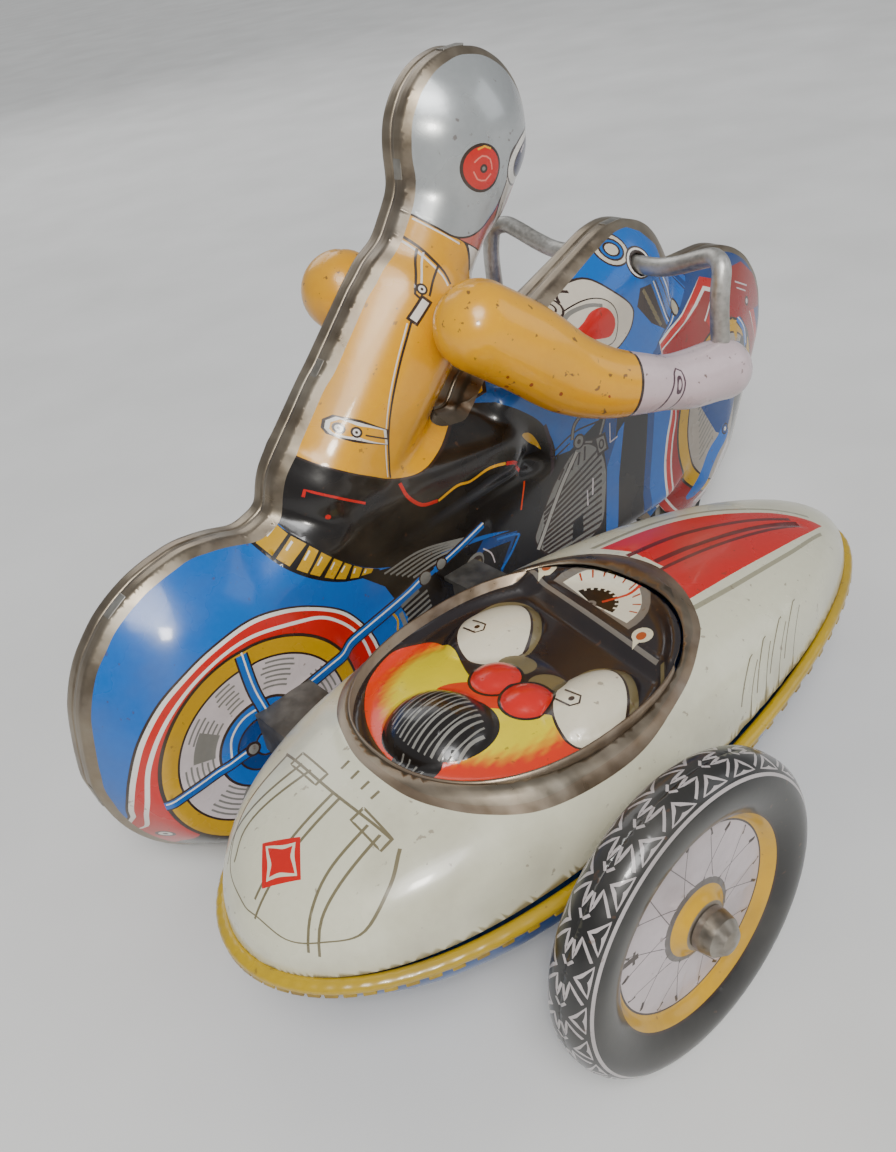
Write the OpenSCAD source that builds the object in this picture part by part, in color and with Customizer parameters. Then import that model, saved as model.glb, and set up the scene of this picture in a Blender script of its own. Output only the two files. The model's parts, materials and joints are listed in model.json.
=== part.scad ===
// Tin wind-up motorcycle with a sidecar, a rider and an embossed passenger.
// All sizes are in millimetres. +X is the way it travels, +Y is the rider's left, +Z is up.
// The origin is on the floor, in the plane where the motorcycle's two shell halves meet.

/* [Tinplate] */
// Thickness of the drawn shells
tin = 0.5; // [0.4:0.05:0.7]
// Thickness of the struts, brackets and clockwork plates
plate = 0.8; // [0.6:0.1:1]

/* [Motorcycle] */
// Rear wheel centre, along the toy
rear_x = -65.3; // [-70:0.1:-60]
// Distance between the two printed wheels' centres
wheelbase = 135; // [112:1:162]
// Height of the printed wheels' centres
wheel_z = 27; // [26:0.1:30]
// Radius of the printed wheels
wheel_r = 23.3; // [21:0.1:25]
// Half width of the motorcycle across its printed wheels
wheel_depth = 13.3; // [12.8:0.1:16]
// Half width across the engine and the tank
frame_depth = 11.5; // [10.5:0.1:13]
// Radius of the rear mudguard
guard_r = 28.3; // [27:0.1:32]
// Width of the flat drawn skirt beside the middle seam, on each half
skirt_w = 2.6; // [2:0.1:3.5]

/* [Rider] */
// Radius of the head
head_r = 14.6; // [12.1:0.1:17.6]
// Height of the head's centre
head_z = 110; // [106:0.5:116]
// Half width of the head
head_depth = 10.8; // [9:0.1:13]
// Half width of the body
torso_depth = 11.3; // [9:0.1:12]
// Radius of the back and the chest
torso_r = 13.4; // [12:0.1:16]
// Half width at the knees
leg_depth = 13; // [11:0.1:15]

/* [Arms] */
// Radius of the arm at the shoulder
arm_r = 8; // [6:0.1:9]
// Radius of the arm at the cuff
cuff_r = 5.5; // [4.5:0.1:6.5]
// Gap between the shoulder and the body
arm_gap = 0.7; // [0.5:0.1:2]
// Distance from the middle plane to each hand
hand_y = 32; // [28:0.5:36]
// Radius of the glove
glove_r = 6; // [5:0.1:7]

/* [Handlebar] */
// Diameter of the handlebar rod
bar_d = 3.7; // [3:0.1:4.2]
// Height of the handlebar where it leaves the shell
bar_z = 76.5; // [74:0.5:80]

/* [Clockwork] */
// Distance between the two motor plates
motor_gap = 12; // [11:0.1:13]
// Diameter of the winding arbor
arbor_d = 4; // [3:0.1:4.5]
// Diameter of the drive axle and the front axle
axle_d = 2.4; // [2:0.1:3]
// Diameter of the intermediate arbor
pinion_arbor_d = 1.8; // [1.4:0.1:2.2]
// Radial clearance of every turning fit
running = 0.05; // [0.03:0.01:0.08]
// Gear module
gear_m = 0.6; // [0.5:0.02:0.65]
// Thickness of the gear wheels
gear_t = 1; // [0.8:0.1:1.2]
// Radius of the coiled mainspring
spring_r = 11; // [9:0.1:12]
// Width of the mainspring strip
spring_w = 4.5; // [3.5:0.1:5]
// Radius of the drive wheels with their tyres
drive_r = 12; // [11:0.1:13]
// Width of each drive wheel
drive_w = 3.2; // [2.5:0.1:3.4]

/* [Front wheel] */
// Radius of the front wheel with its tyre
front_r = 10; // [9:0.1:11]
// Width of the front wheel
front_w = 5; // [4:0.1:7]

/* [Key] */
// Distance across the key's wings
key_span = 26; // [20:0.5:30]
// Gap between the left shell and the key
key_gap = 2.5; // [1.5:0.1:5]

/* [Sidecar] */
// Length of the sidecar over its rolled rim
car_length = 141.3; // [118:0.1:150]
// Width of the sidecar over its rolled rim
car_width = 58.2; // [52:0.1:60]
// Distance from the motorcycle's middle plane to the sidecar's middle plane
car_offset = 51.7; // [51.5:0.1:60]
// Front-to-back place of the sidecar's widest section
car_x = -29.4; // [-34:0.1:-25]
// Height of the joint between the sidecar's two pressings
joint_z = 28.4; // [28:0.1:31]
// Height of the upper shell above the joint
upper_h = 18; // [15:0.1:20]
// Depth of the pan below the joint
pan_h = 12.5; // [10.5:0.1:14]
// Length of the cockpit opening
cockpit_l = 55; // [46:0.5:60]
// Width of the cockpit opening
cockpit_w = 45; // [38:0.5:46]
// Front-to-back place of the cockpit's middle
cockpit_x = -37.5; // [-41:0.1:-34]
// Depth of the cockpit plate below the top of the shell
cockpit_drop = 4.5; // [4:0.1:6]

/* [Sidecar wheel] */
// Radius of the sidecar wheel
car_wheel_r = 24.8; // [23:0.1:28]
// Width of the sidecar wheel
car_wheel_w = 9; // [8:0.1:12]
// Front-to-back place of the sidecar wheel's centre
car_wheel_x = -45.5; // [-50:0.1:-40]
// Gap between the sidecar's rim and its wheel
car_wheel_gap = 5.4; // [3.5:0.1:8]

/* [Hidden] */

// Smoothness of exact round parts, and of the blended shells
$fn = 64;
blend_fn = 32;
// Gap between pieces that lie against each other without touching
slip = 0.05;
// Overlap of a cut past the face it opens
past = 1;

// ---- places on the motorcycle ----
front_x = rear_x + wheelbase;
guard_top_z = wheel_z + 7.3;
guard_low_z = guard_top_z - 5.3;
hip_x = rear_x + 31.3;
hip_z = 60;
shoulder_x = hip_x + 25.5;
shoulder_z = hip_z + 24.5;
head_x = shoulder_x + 17;
knee_x = hip_x + 34;
knee_z = 54;
tank_x = front_x - 25.7;
tank_z = 68.8;
bar_x = tank_x - 0.5;
belly_r = 18.5;
// Radius of the lower front, where the side bends in towards the seam
bow_r = 17;
// Place of the front wheel under the front mudguard
roller_x = front_x - 10.7;
belly_z = hip_z - 27;

// ---- clockwork places ----
plate_y = motor_gap/2 + plate;
great_teeth = 48;
pinion_teeth = 10;
second_teeth = 36;
ratchet_teeth = 12;
drive_x = rear_x + 3.3;
mesh_a = gear_m*(second_teeth + pinion_teeth)/2;
mesh_b = gear_m*(great_teeth + pinion_teeth)/2;
mesh_a_angle = 55;
mesh_b_angle = 35;
mid_x = drive_x + mesh_a*cos(mesh_a_angle);
mid_z = drive_r + mesh_a*sin(mesh_a_angle);
key_x = mid_x + mesh_b*cos(mesh_b_angle);
key_z = mid_z + mesh_b*sin(mesh_b_angle);
great_y = -motor_gap/2 + 0.5;
ratchet_t = 1;
ratchet_r = 5.4;
ratchet_y = great_y + gear_t + slip;
spring_y = ratchet_y + ratchet_t + 0.6;
second_y = motor_gap/2 - 0.6 - gear_t;
drive_y = plate_y + 0.5;

// ---- sidecar places ----
bead_t = 1.8;
bead_h = 2;
tail_part = 0.466;
tail_a = car_length*tail_part;
nose_a = car_length - tail_a;
half_b = car_width/2;
tail_power = 3;
nose_power = 1.53;
car_wheel_y = -(car_offset + half_b + car_wheel_gap);
cockpit_floor = joint_z + upper_h - cockpit_drop;

// ================= blended shell of the motorcycle and rider =================

// One raised round pad that leans out from the middle plane: a flat skirt of radius r beside
// the plane, then a dome drawn in by edge towards its flat top at depth d. fall is 2 for a
// round dome and 1 for a straight slope.
module pad(x, z, r, d, edge, t, fall = 2) {
    steps = 5;
    translate([x, 0, z]) rotate([90, 0, 0]) rotate_extrude($fn = blend_fn)
        polygon(concat([[0, -t], [r - t, -t]],
            [for (i = [0:steps]) let (u = 1 - i/steps)
                [r - edge*(1 - u) - t, skirt_w + (d - t - skirt_w)*(1 - pow(u, fall))]],
            [[0, d - t]]));
}

// The right half's outer form, or with t > 0 the space inside a wall of thickness t
module half_form(t) {
    hull() {
        pad(rear_x, guard_low_z, guard_r, wheel_depth - 2.5, 9.5, t, 1.2);
        pad(rear_x + 0.5, guard_top_z, guard_r - 0.5, wheel_depth - 2.5, 9.5, t, 1.2);
        pad(rear_x, wheel_z, wheel_r, wheel_depth, 3, t);
    }
    hull() {
        pad(hip_x - 22, hip_z - 15, 13, frame_depth, 9, t);
        pad(hip_x - 8, hip_z - 11.5, 13.5, frame_depth, 9, t);
        pad(hip_x - 3, belly_z, belly_r - 1, frame_depth, 5, t);
    }
    hull() {
        pad(hip_x, hip_z, torso_r, torso_depth, torso_r - 2, t);
        pad(shoulder_x, shoulder_z, torso_r, torso_depth, torso_r - 2, t);
    }
    hull() {
        pad(shoulder_x + 2, shoulder_z + 4, torso_r - 3.5, torso_depth - 2.5, 9, t);
        pad(head_x - 4, head_z - 8, head_r - 4, head_depth - 1.5, 9, t);
    }
    hull() {
        pad(head_x, head_z, head_r, head_depth, head_r - 1, t);
        pad(head_x - 2.5, head_z - 6, head_r - 2, head_depth - 0.5, head_r - 3, t);
    }
    hull() {
        pad(hip_x, hip_z - 7, 12, leg_depth - 1, 8, t);
        pad(knee_x, knee_z, 8.5, leg_depth, 6, t);
    }
    hull() {
        pad(tank_x, tank_z, 15.5, frame_depth - 0.5, 12, t);
        pad(knee_x + 6, knee_z + 6, 9.5, frame_depth, 6, t);
        pad(tank_x - 12, knee_z - 14, 16, frame_depth, 6, t);
    }
    hull() {
        pad(hip_x, belly_z, belly_r, frame_depth, 6, t);
        pad(front_x - 26, belly_z + 1, belly_r - 0.5, frame_depth, 6, t);
    }
    hull() {
        pad(front_x + 3.5, wheel_z + 22.5, 19.8, wheel_depth - 4, 18, t, 1.1);
        pad(tank_x + 8, tank_z - 11, 12, frame_depth - 1, 8, t);
        pad(front_x - 3.7, wheel_z, bow_r, wheel_depth - 1.3, bow_r - 1, t, 1.1);
        pad(front_x - 9.7, wheel_z - 6, bow_r - 1, wheel_depth - 1.3, bow_r - 3, t, 1.1);
    }
}

// Places of the bent tabs around the seam: a point on the outline and its outward direction
tabs = [[rear_x - guard_r*cos(5), guard_low_z - guard_r*sin(5), 185],
        [rear_x + 0.5 - (guard_r - 0.5)*cos(60), guard_top_z + (guard_r - 0.5)*sin(60), 120],
        [hip_x - torso_r*cos(45) + 12, hip_z + torso_r*sin(45) + 12, 135],
        [head_x, head_z + head_r, 90],
        [tank_x, tank_z + 15.5, 90]];
tab_l = 5;
tab_reach = 2.4;
// How far below the outline a tab lies, so that it passes under the other half's wall
tab_depth = 1 + tin;

// A tab: its root joins the left half's wall, its tongue lies inside the right half
module tab(p) {
    translate([p[0], 0, p[1]]) rotate([0, -p[2], 0]) translate([-tab_depth, 0, -tab_l/2]) {
        translate([-tin, -tab_reach, 0]) cube([tin, 2*tab_reach, tab_l]);
        translate([-tin, 0.5, 0]) cube([tab_depth + tin/2, tab_reach - 0.5, tab_l]);
    }
}

// Openings in the underside for the drive wheels and the front wheel, and the side holes
module shell_cuts() {
    room = 1;
    for (s = [-1, 1]) translate([drive_x, s > 0 ? drive_y - room : -drive_y + room, drive_r])
        rotate([s > 0 ? -90 : 90, 0, 0]) cylinder(r = drive_r + room, h = drive_w + 2*room);
    translate([drive_x - drive_r, -plate_y - room, -past])
        cube([2*drive_r, 2*(plate_y + room), drive_r - 4]);
    translate([roller_x, 0, front_r]) rotate([90, 0, 0])
        cylinder(r = front_r + room, h = front_w + 2*room + 4, center = true);
    for (s = [-1, 1]) translate([bar_x, s*frame_depth, bar_z]) rotate([90, 0, 0])
        cylinder(d = bar_d + 0.6, h = 16, center = true);
}

// The slot for an arm's tab in the right half
module arm_slot() {
    mirror([0, 1, 0]) translate([0, 0, -slip]) arm_tab(shoulder_tab_w + 2*slip, tin + 2*slip);
}

module right_half() {
    intersection() {
        difference() {
            half_form(0);
            half_form(tin);
            shell_cuts();
            arm_slot();
        }
        translate([-200, -60, -50]) cube([400, 60 - slip/2, 250]);
    }
}

module body_shell_right() {
    color("dodgerblue") difference() {
        right_half();
        strut_slots();
    }
}

module body_shell_left() {
    color("royalblue") {
        difference() {
            mirror([0, 1, 0]) right_half();
            translate([key_x, 0, key_z]) rotate([-90, 0, 0]) cylinder(d = eyelet_d + 2*slip, h = 40);
        }
        for (p = tabs) tab(p);
    }
}

// ================= arms and handlebar =================

arm_y = torso_depth + arm_gap + arm_r;
shoulder = [shoulder_x - 0.5, arm_y, shoulder_z];
hand = [bar_x - 3.5, hand_y, bar_z - 17];
elbow = [shoulder[0] + 0.29*(hand[0] - shoulder[0]), arm_y + 5, shoulder[2] - 13];
cuff = [shoulder[0] + 0.58*(hand[0] - shoulder[0]), hand_y - 1.8, hand[2] + 5.2];
arm_fn = 14;
shoulder_tab_w = 5;

// A flat tab of width w and thickness t from the arm's wall into the body
module arm_tab(w, t) {
    inside = 2;
    translate([shoulder[0] - w/2, torso_depth - inside, shoulder[2] - tin/2])
        cube([w, inside + arm_gap + 1.5, t]);
}

// The arm and glove, drawn in all over by t
module arm_form(t) {
    hull() {
        translate(shoulder) sphere(arm_r - t, $fn = arm_fn);
        translate(elbow) sphere(arm_r - 0.5 - t, $fn = arm_fn);
    }
    hull() {
        translate(elbow) sphere(arm_r - 0.5 - t, $fn = arm_fn);
        translate(cuff) sphere(cuff_r - t, $fn = arm_fn);
    }
    hull() {
        translate(cuff) sphere(cuff_r - t, $fn = arm_fn);
        translate(hand) sphere(glove_r - t, $fn = arm_fn);
    }
}

// Everything on the outer side of the upright sheet that runs along the arm's middle
module outer_side() {
    translate([0, 0, -10]) linear_extrude(200)
        polygon([[shoulder[0] - 60, shoulder[1]], [shoulder[0], shoulder[1]],
                 [elbow[0], elbow[1]], [cuff[0], cuff[1]], [hand[0], hand[1]],
                 [hand[0] + 60, hand[1]], [hand[0] + 60, 90], [shoulder[0] - 60, 90]]);
}

module arm_shell() {
    difference() {
        arm_form(0);
        arm_form(tin);
        translate([hand[0], hand[1], hand[2]]) cylinder(d = bar_d + 2*slip, h = 30);
    }
}

module arm_outer() intersection() { arm_shell(); outer_side(); }
module arm_inner() {
    difference() { arm_shell(); translate([0, -slip/2, 0]) outer_side(); }
    arm_tab(shoulder_tab_w, tin);
}

module right_arm_outer() color("gold") mirror([0, 1, 0]) arm_outer();
module right_arm_inner() color("goldenrod") mirror([0, 1, 0]) arm_inner();
module left_arm_outer() color("gold") arm_outer();
module left_arm_inner() color("goldenrod") arm_inner();

// Half of the handlebar's middle line, from the middle plane to the end inside the glove
bar_knee = [bar_x, frame_depth + 4, bar_z];
bar_corner = [bar_x - 0.5, hand_y, bar_z + 4.5];
bar_foot = [hand[0], hand[1], hand[2]];

module rod(a, b) {
    d = b - a;
    len = norm(d);
    translate(a) rotate([0, acos(d[2]/len), atan2(d[1], d[0])]) cylinder(d = bar_d, h = len);
}

bar_bend_d = bar_d + 0.12;

module bar_half() {
    rod([bar_x, -past, bar_z], bar_knee);
    translate(bar_knee) sphere(d = bar_bend_d);
    rod(bar_knee, bar_corner);
    translate(bar_corner) sphere(d = bar_bend_d);
    rod(bar_corner, bar_foot + [0, 0, glove_r + 2]);
    translate(bar_foot + [0, 0, glove_r + 2]) sphere(d = bar_bend_d);
    translate(bar_foot) cylinder(d = bar_d, h = glove_r + 2);
}

module handlebar() {
    color("silver") {
        bar_half();
        mirror([0, 1, 0]) bar_half();
    }
}

// ================= clockwork =================

// A point of an involute tooth flank at radius r, as [radius, angle from the tooth's middle]
function flank(r, base, pitch, half) = let (a = acos(min(1, base/r)), p = acos(base/pitch))
    [r, half + (tan(p) - p*PI/180 - tan(a) + a*PI/180)*180/PI];

// Outline of a gear with a tooth centred on +X
function gear_points(teeth, tip, root) =
    let (pitch = gear_m*teeth/2, base = pitch*cos(20),
         half = 90/teeth - 0.05/pitch*180/PI,
         start = max(base, root), steps = 4,
         side = [for (i = [0:steps]) flank(start + (tip - start)*i/steps, base, pitch, half)])
    [for (k = [0:teeth - 1]) for (p = concat(
        [[root, -side[0][1]]],
        [for (q = side) [q[0], -q[1]]],
        [for (i = [steps:-1:0]) side[i]],
        [[root, side[0][1]]]))
        let (a = 360*k/teeth + p[1]) [p[0]*cos(a), p[0]*sin(a)]];

// A gear lying in the upright plane, from y towards -Y by t
module gear(teeth, x, z, y, t, turn, add, bore) {
    pitch = gear_m*teeth/2;
    translate([x, y, z]) rotate([90, 0, 0]) linear_extrude(t) difference() {
        rotate(turn) polygon(gear_points(teeth, pitch + add*gear_m, pitch - 1.15*gear_m));
        circle(d = bore);
    }
}

// A round pin along Y from y0 to y1
module pin(x, z, y0, y1, d) {
    translate([x, y1, z]) rotate([90, 0, 0]) cylinder(d = d, h = y1 - y0);
}

// A motor plate's outline, joining the bosses around its arbors
pillar_d = 3.2;
tenon_d = pillar_d - 1.2;
great_tip = gear_m*(great_teeth/2 + 0.6);
pillar_out = great_tip + pillar_d/2 + 0.5;
pillars = [for (p = [[47, 1], [145, 4], [-43, 0]])
    [key_x + (pillar_out + p[1])*cos(p[0]), key_z + (pillar_out + p[1])*sin(p[0])]];

module plate_outline() {
    foot = axle_d/2 + 2.6;
    polygon([[drive_x - foot, drive_r - foot], [drive_x + foot, drive_r - foot],
             [drive_x + 18, drive_r + 8], pillars[2] + [3, -3], pillars[0] + [3, 3],
             pillars[1] + [-4, 3.5], [drive_x - foot, drive_r + 6]]);
}

module motor_plate(y) {
    translate([0, y + plate, 0]) rotate([90, 0, 0]) linear_extrude(plate) difference() {
        plate_outline();
        translate([key_x, key_z]) circle(d = arbor_d + 2*running);
        translate([mid_x, mid_z]) circle(d = pinion_arbor_d + 2*running);
        translate([drive_x, drive_r]) circle(d = axle_d + 2*running);
        for (p = pillars) translate(p) circle(d = tenon_d);
    }
}

// Lugs bent out from a motor plate until they meet the shell
module motor_lugs() {
    lug = 4;
    for (p = [[key_x - 3, key_z - 11], [key_x + 2, key_z + 9]])
        translate([p[0], plate_y - plate/2, p[1]])
            cube([lug, frame_depth - tin - slip - plate_y + plate/2, plate]);
}

module motor_plate_right() {
    color("lightsteelblue") {
        motor_plate(-plate_y);
        mirror([0, 1, 0]) motor_lugs();
    }
}

module motor_plate_left() {
    color("lightsteelblue") {
        motor_plate(motor_gap/2);
        motor_lugs();
    }
}

module motor_pillars() {
    color("darkgray") for (p = pillars) {
        pin(p[0], p[1], -motor_gap/2, motor_gap/2, pillar_d);
        pin(p[0], p[1], -plate_y, plate_y, tenon_d);
    }
}

// The mainspring: a flat strip wound in a spiral from near the arbor to the upper rear pillar
module mainspring() {
    turns = 6;
    strip = 0.5;
    inner = arbor_d/2 + 1.2;
    per_turn = 24;
    total = turns*per_turn;
    end_angle = atan2(pillars[1][1] - key_z, pillars[1][0] - key_x) - 3;
    function place(i, off) = let (a = end_angle + 360*(i - total)/per_turn,
                                 r = inner + (spring_r - strip - inner)*i/total + off)
        [r*cos(a), r*sin(a)];
    hook = pillars[1] - [key_x, key_z];
    way = hook/norm(hook);
    color("slategray") translate([key_x, spring_y + spring_w, key_z]) rotate([90, 0, 0])
        difference() {
            union() {
                linear_extrude(spring_w)
                    polygon(concat([for (i = [0:total]) place(i, 0)],
                                   [for (i = [total:-1:0]) place(i, strip)]));
                translate(hook) cylinder(d = pillar_d + 1.2, h = spring_w);
                rotate(atan2(way[1], way[0])) translate([spring_r - strip - 0.6, -0.9])
                    cube([norm(hook) - spring_r, 0.6, spring_w]);
            }
            translate([hook[0], hook[1], -past]) cylinder(d = pillar_d + 2*slip, h = spring_w + 2*past);
        }
}

eyelet_d = arbor_d + 3;

module winding_arbor() {
    color("silver") difference() {
        pin(key_x, key_z, -plate_y - 1, key_y + 6, arbor_d);
        translate([key_x, spring_y + spring_w/2, key_z + arbor_d/2]) cube([1, 2, 1.2], center = true);
    }
}

// Distance from the middle plane to the key's hub
key_y = wheel_depth + key_gap;

// Two round wings on a hub that fits over the arbor. At rest the wings lie along the toy.
module winding_key() {
    hub_r = arbor_d/2 + 1.6;
    hub_h = 9;
    leaf = 1.2;
    wing_r = key_span/4;
    wing_y = key_y + hub_h + wing_r;
    color("silver") difference() {
        union() {
            pin(key_x, key_z, key_y, key_y + hub_h, 2*hub_r);
            for (s = [-1, 1]) translate([key_x + s*(key_span/2 - wing_r), wing_y, key_z])
                cylinder(r = wing_r, h = leaf, center = true);
            translate([key_x - hub_r, key_y + 2, key_z - leaf/2])
                cube([2*hub_r, hub_h - 2 + wing_r, leaf]);
        }
        pin(key_x, key_z, key_y - past, key_y + 6, arbor_d);
        for (s = [-1, 1]) translate([key_x + s*(key_span/2 - wing_r), wing_y, key_z])
            cylinder(r = wing_r*0.45, h = 3*leaf, center = true);
    }
}

// The eyelet lines the arbor's hole in the left shell
module key_eyelet() {
    y0 = frame_depth - tin - 0.8;
    y1 = frame_depth + slip;
    color("tan") difference() {
        union() {
            pin(key_x, key_z, y0, y1 + 0.5, eyelet_d);
            pin(key_x, key_z, y1, y1 + 0.5, eyelet_d + 1);
        }
        pin(key_x, key_z, y0 - past, y1 + past, arbor_d + 2*running);
    }
}

// Depth of a ratchet tooth, and the ramp's radius a degrees behind a tooth's steep face
tooth_depth = 1.1;
step = 360/ratchet_teeth;
function ramp(a) = ratchet_r - tooth_depth*(1 - (a - 1)/(step - 1));
function polar(r, a) = [r*cos(a), r*sin(a)];

module ratchet_wheel() {
    color("silver") translate([key_x, ratchet_y + ratchet_t, key_z]) rotate([90, 0, 0])
        linear_extrude(ratchet_t) difference() {
            polygon([for (k = [0:ratchet_teeth - 1])
                for (p = [[ramp(1), -1], [ratchet_r, 0]]) polar(p[0], step*k + p[1])]);
            circle(d = arbor_d);
        }
}

// The click hooks behind a steep face and turns on its rivet. Its underside follows the
// ramp at a small distance.
click_gap = 0.2;
click_from = polar(9.4, -62);
click_at = [key_x + click_from[0], key_z + click_from[1]];
click_pin_d = 1.4;
click_boss_r = 1.5;

module click() {
    under = [for (a = [3, 10, 20, 30]) polar(ramp(a) + click_gap, -a)];
    color("goldenrod") translate([0, ratchet_y + ratchet_t, 0]) rotate([90, 0, 0])
        linear_extrude(ratchet_t) difference() {
            translate([key_x, key_z]) union() {
                translate(click_from) circle(r = click_boss_r);
                polygon(concat([polar(ratchet_r + 0.4, -3)], under,
                    [click_from + [-click_boss_r + 0.1, 0.3], click_from + [click_boss_r - 0.1, 0.3],
                     polar(ratchet_r + 1.7, -18)]));
            }
            translate(click_at) circle(d = click_pin_d + 2*running);
        }
}

module click_rivet() {
    color("silver") {
        pin(click_at[0], click_at[1], great_y, ratchet_y + ratchet_t + 0.1, click_pin_d);
        pin(click_at[0], click_at[1], ratchet_y + ratchet_t + 0.1, ratchet_y + ratchet_t + 0.5, 2.4);
    }
}

module great_gear() {
    color("goldenrod") difference() {
        gear(great_teeth, key_x, key_z, great_y + gear_t, gear_t, mesh_b_angle + 180, 0.6,
             arbor_d + 2*running);
        pin(click_at[0], click_at[1], great_y - past, great_y + gear_t + past, click_pin_d);
    }
}

module intermediate_arbor() color("silver")
    pin(mid_x, mid_z, -plate_y - 0.6, plate_y + 0.6, pinion_arbor_d);

// The pinion's gap faces the great gear's tooth
module intermediate_pinion() color("silver")
    gear(pinion_teeth, mid_x, mid_z, great_y + gear_t + 0.4, gear_t + 0.8,
         mesh_b_angle + 180/pinion_teeth, 1, pinion_arbor_d);

module intermediate_gear() color("goldenrod")
    gear(second_teeth, mid_x, mid_z, second_y + gear_t, gear_t, mesh_a_angle + 180, 0.6,
         pinion_arbor_d);

wheel_end = drive_y + drive_w;

module drive_axle() color("silver") pin(drive_x, drive_r, -wheel_end - 0.3, wheel_end + 0.3, axle_d);

module drive_pinion() color("silver")
    gear(pinion_teeth, drive_x, drive_r, second_y + gear_t + 0.4, gear_t + 0.8,
         mesh_a_angle + 180/pinion_teeth, 1, axle_d);

tyre_t = 2;

module road_wheel(x, y, r, w, bore) {
    translate([x, y + w, r]) rotate([90, 0, 0]) rotate_extrude()
        polygon([[bore/2, 0], [bore/2 + 1.6, 0], [bore/2 + 1.6, w*0.25], [r - tyre_t - 1.6, w*0.25],
                 [r - tyre_t - 1.6, 0], [r - tyre_t, 0], [r - tyre_t, w], [r - tyre_t - 1.6, w],
                 [r - tyre_t - 1.6, w*0.75], [bore/2 + 1.6, w*0.75], [bore/2 + 1.6, w],
                 [bore/2, w]]);
}

module road_tyre(x, y, r, w) {
    translate([x, y + w, r]) rotate([90, 0, 0]) rotate_extrude()
        polygon([[r - tyre_t, 0], [r - 0.5, 0], [r, w*0.2], [r, w*0.8], [r - 0.5, w],
                 [r - tyre_t, w]]);
}

module drive_wheel_right() color("silver") road_wheel(drive_x, -wheel_end, drive_r, drive_w, axle_d);
module drive_wheel_left() color("silver") road_wheel(drive_x, drive_y, drive_r, drive_w, axle_d);
module drive_tyre_right() color("dimgray") road_tyre(drive_x, -wheel_end, drive_r, drive_w);
module drive_tyre_left() color("dimgray") road_tyre(drive_x, drive_y, drive_r, drive_w);

// ================= front wheel =================

bracket_in = front_w/2 + 0.4;
bracket_top = 2*front_r + 1.5;

module front_bracket() {
    strip = 7;
    color("lightsteelblue") difference() {
        union() {
            for (s = [-1, 1]) translate([roller_x - strip/2, s > 0 ? bracket_in : -bracket_in - plate,
                                         front_r - 3])
                cube([strip, plate, bracket_top - front_r + 3]);
            translate([roller_x - strip/2, -bracket_in - plate, bracket_top])
                cube([strip, 2*(bracket_in + plate), plate]);
        }
        pin(roller_x, front_r, -20, 20, axle_d + 2*running);
        translate([roller_x, 0, bracket_top - past])
            cylinder(d = bracket_rivet_d, h = plate + 2*past);
    }
}

// The strap spans the two shells, and the rivet holds the bracket up against it
strap_z = bracket_top + plate + slip;
bracket_rivet_d = 3;

module front_strap() {
    strap_w = 6;
    reach = frame_depth - tin - 1.2;
    color("lightsteelblue") difference() {
        union() {
            translate([roller_x - strap_w/2, -reach, strap_z]) cube([strap_w, 2*reach, plate]);
            for (s = [-1, 1]) translate([roller_x - strap_w/2, s > 0 ? reach - plate : -reach, strap_z])
                cube([strap_w, plate, 4]);
        }
        translate([roller_x, 0, strap_z - past]) cylinder(d = bracket_rivet_d, h = plate + 2*past);
    }
}

module bracket_rivet() {
    head = 0.6;
    color("silver") translate([roller_x, 0, 0]) {
        translate([0, 0, bracket_top - head]) cylinder(d = bracket_rivet_d, h = 2*plate + slip + 2*head);
        translate([0, 0, bracket_top - head]) cylinder(d = bracket_rivet_d + 2, h = head);
        translate([0, 0, strap_z + plate]) cylinder(d = bracket_rivet_d + 2, h = head);
    }
}

module front_axle() color("silver")
    pin(roller_x, front_r, -bracket_in - plate - 0.6, bracket_in + plate + 0.6, axle_d);

module front_wheel() color("silver")
    road_wheel(roller_x, -front_w/2, front_r, front_w, axle_d + 2*running);

module front_tyre() color("dimgray") road_tyre(roller_x, -front_w/2, front_r, front_w);

// ================= sidecar =================

// A point of the sidecar's plan outline at angle a, grown outward by g
function plan(a, g) = let (c = cos(a), s = sin(a), len = c < 0 ? tail_a : nose_a,
                           e = 2/(c < 0 ? tail_power : nose_power))
    [car_x + (c < 0 ? -1 : 1)*(len + g)*pow(abs(c), e), -car_offset + (half_b + g)*s];

// Fullness of the rounding from the rim to the crown, boxier across than along and least
// towards the nose
function crown_power(a, along, across) =
    along + (across - along)*pow(sin(a), 2) - 0.4*pow(max(0, cos(a)), 2);

// A closed dome over the plan outline. up is +1 for the upper shell and -1 for the pan.
module dome(g, base_z, h, up, along, across) {
    ring = 64;
    rows = 9;
    pts = concat([for (r = [0:rows - 1]) for (i = [0:ring - 1])
            let (a = 360*i/ring, f = 90*r/rows, n = crown_power(a, along, across),
                 p = plan(a, g), k = pow(cos(f), 2/n))
            [car_x + (p[0] - car_x)*k, -car_offset + (p[1] + car_offset)*k,
             base_z + up*h*pow(sin(f), 2/n)]],
        [[car_x, -car_offset, base_z + up*h], [car_x, -car_offset, base_z]]);
    crown = ring*rows;
    side = [for (r = [0:rows - 2]) for (i = [0:ring - 1]) let (j = (i + 1) % ring)
        [r*ring + i, (r + 1)*ring + i, (r + 1)*ring + j, r*ring + j]];
    cap = [for (i = [0:ring - 1]) [(rows - 1)*ring + i, crown, (rows - 1)*ring + (i + 1) % ring]];
    foot = [for (i = [0:ring - 1]) [i, (i + 1) % ring, crown + 1]];
    all_faces = concat(side, cap, foot);
    polyhedron(pts, up > 0 ? all_faces : [for (f = all_faces) [for (k = [len(f) - 1:-1:0]) f[k]]],
               convexity = 4);
}

// The plan outline as a flat shape
module plan_shape(g) polygon([for (i = [0:95]) plan(360*i/96, g)]);

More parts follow.
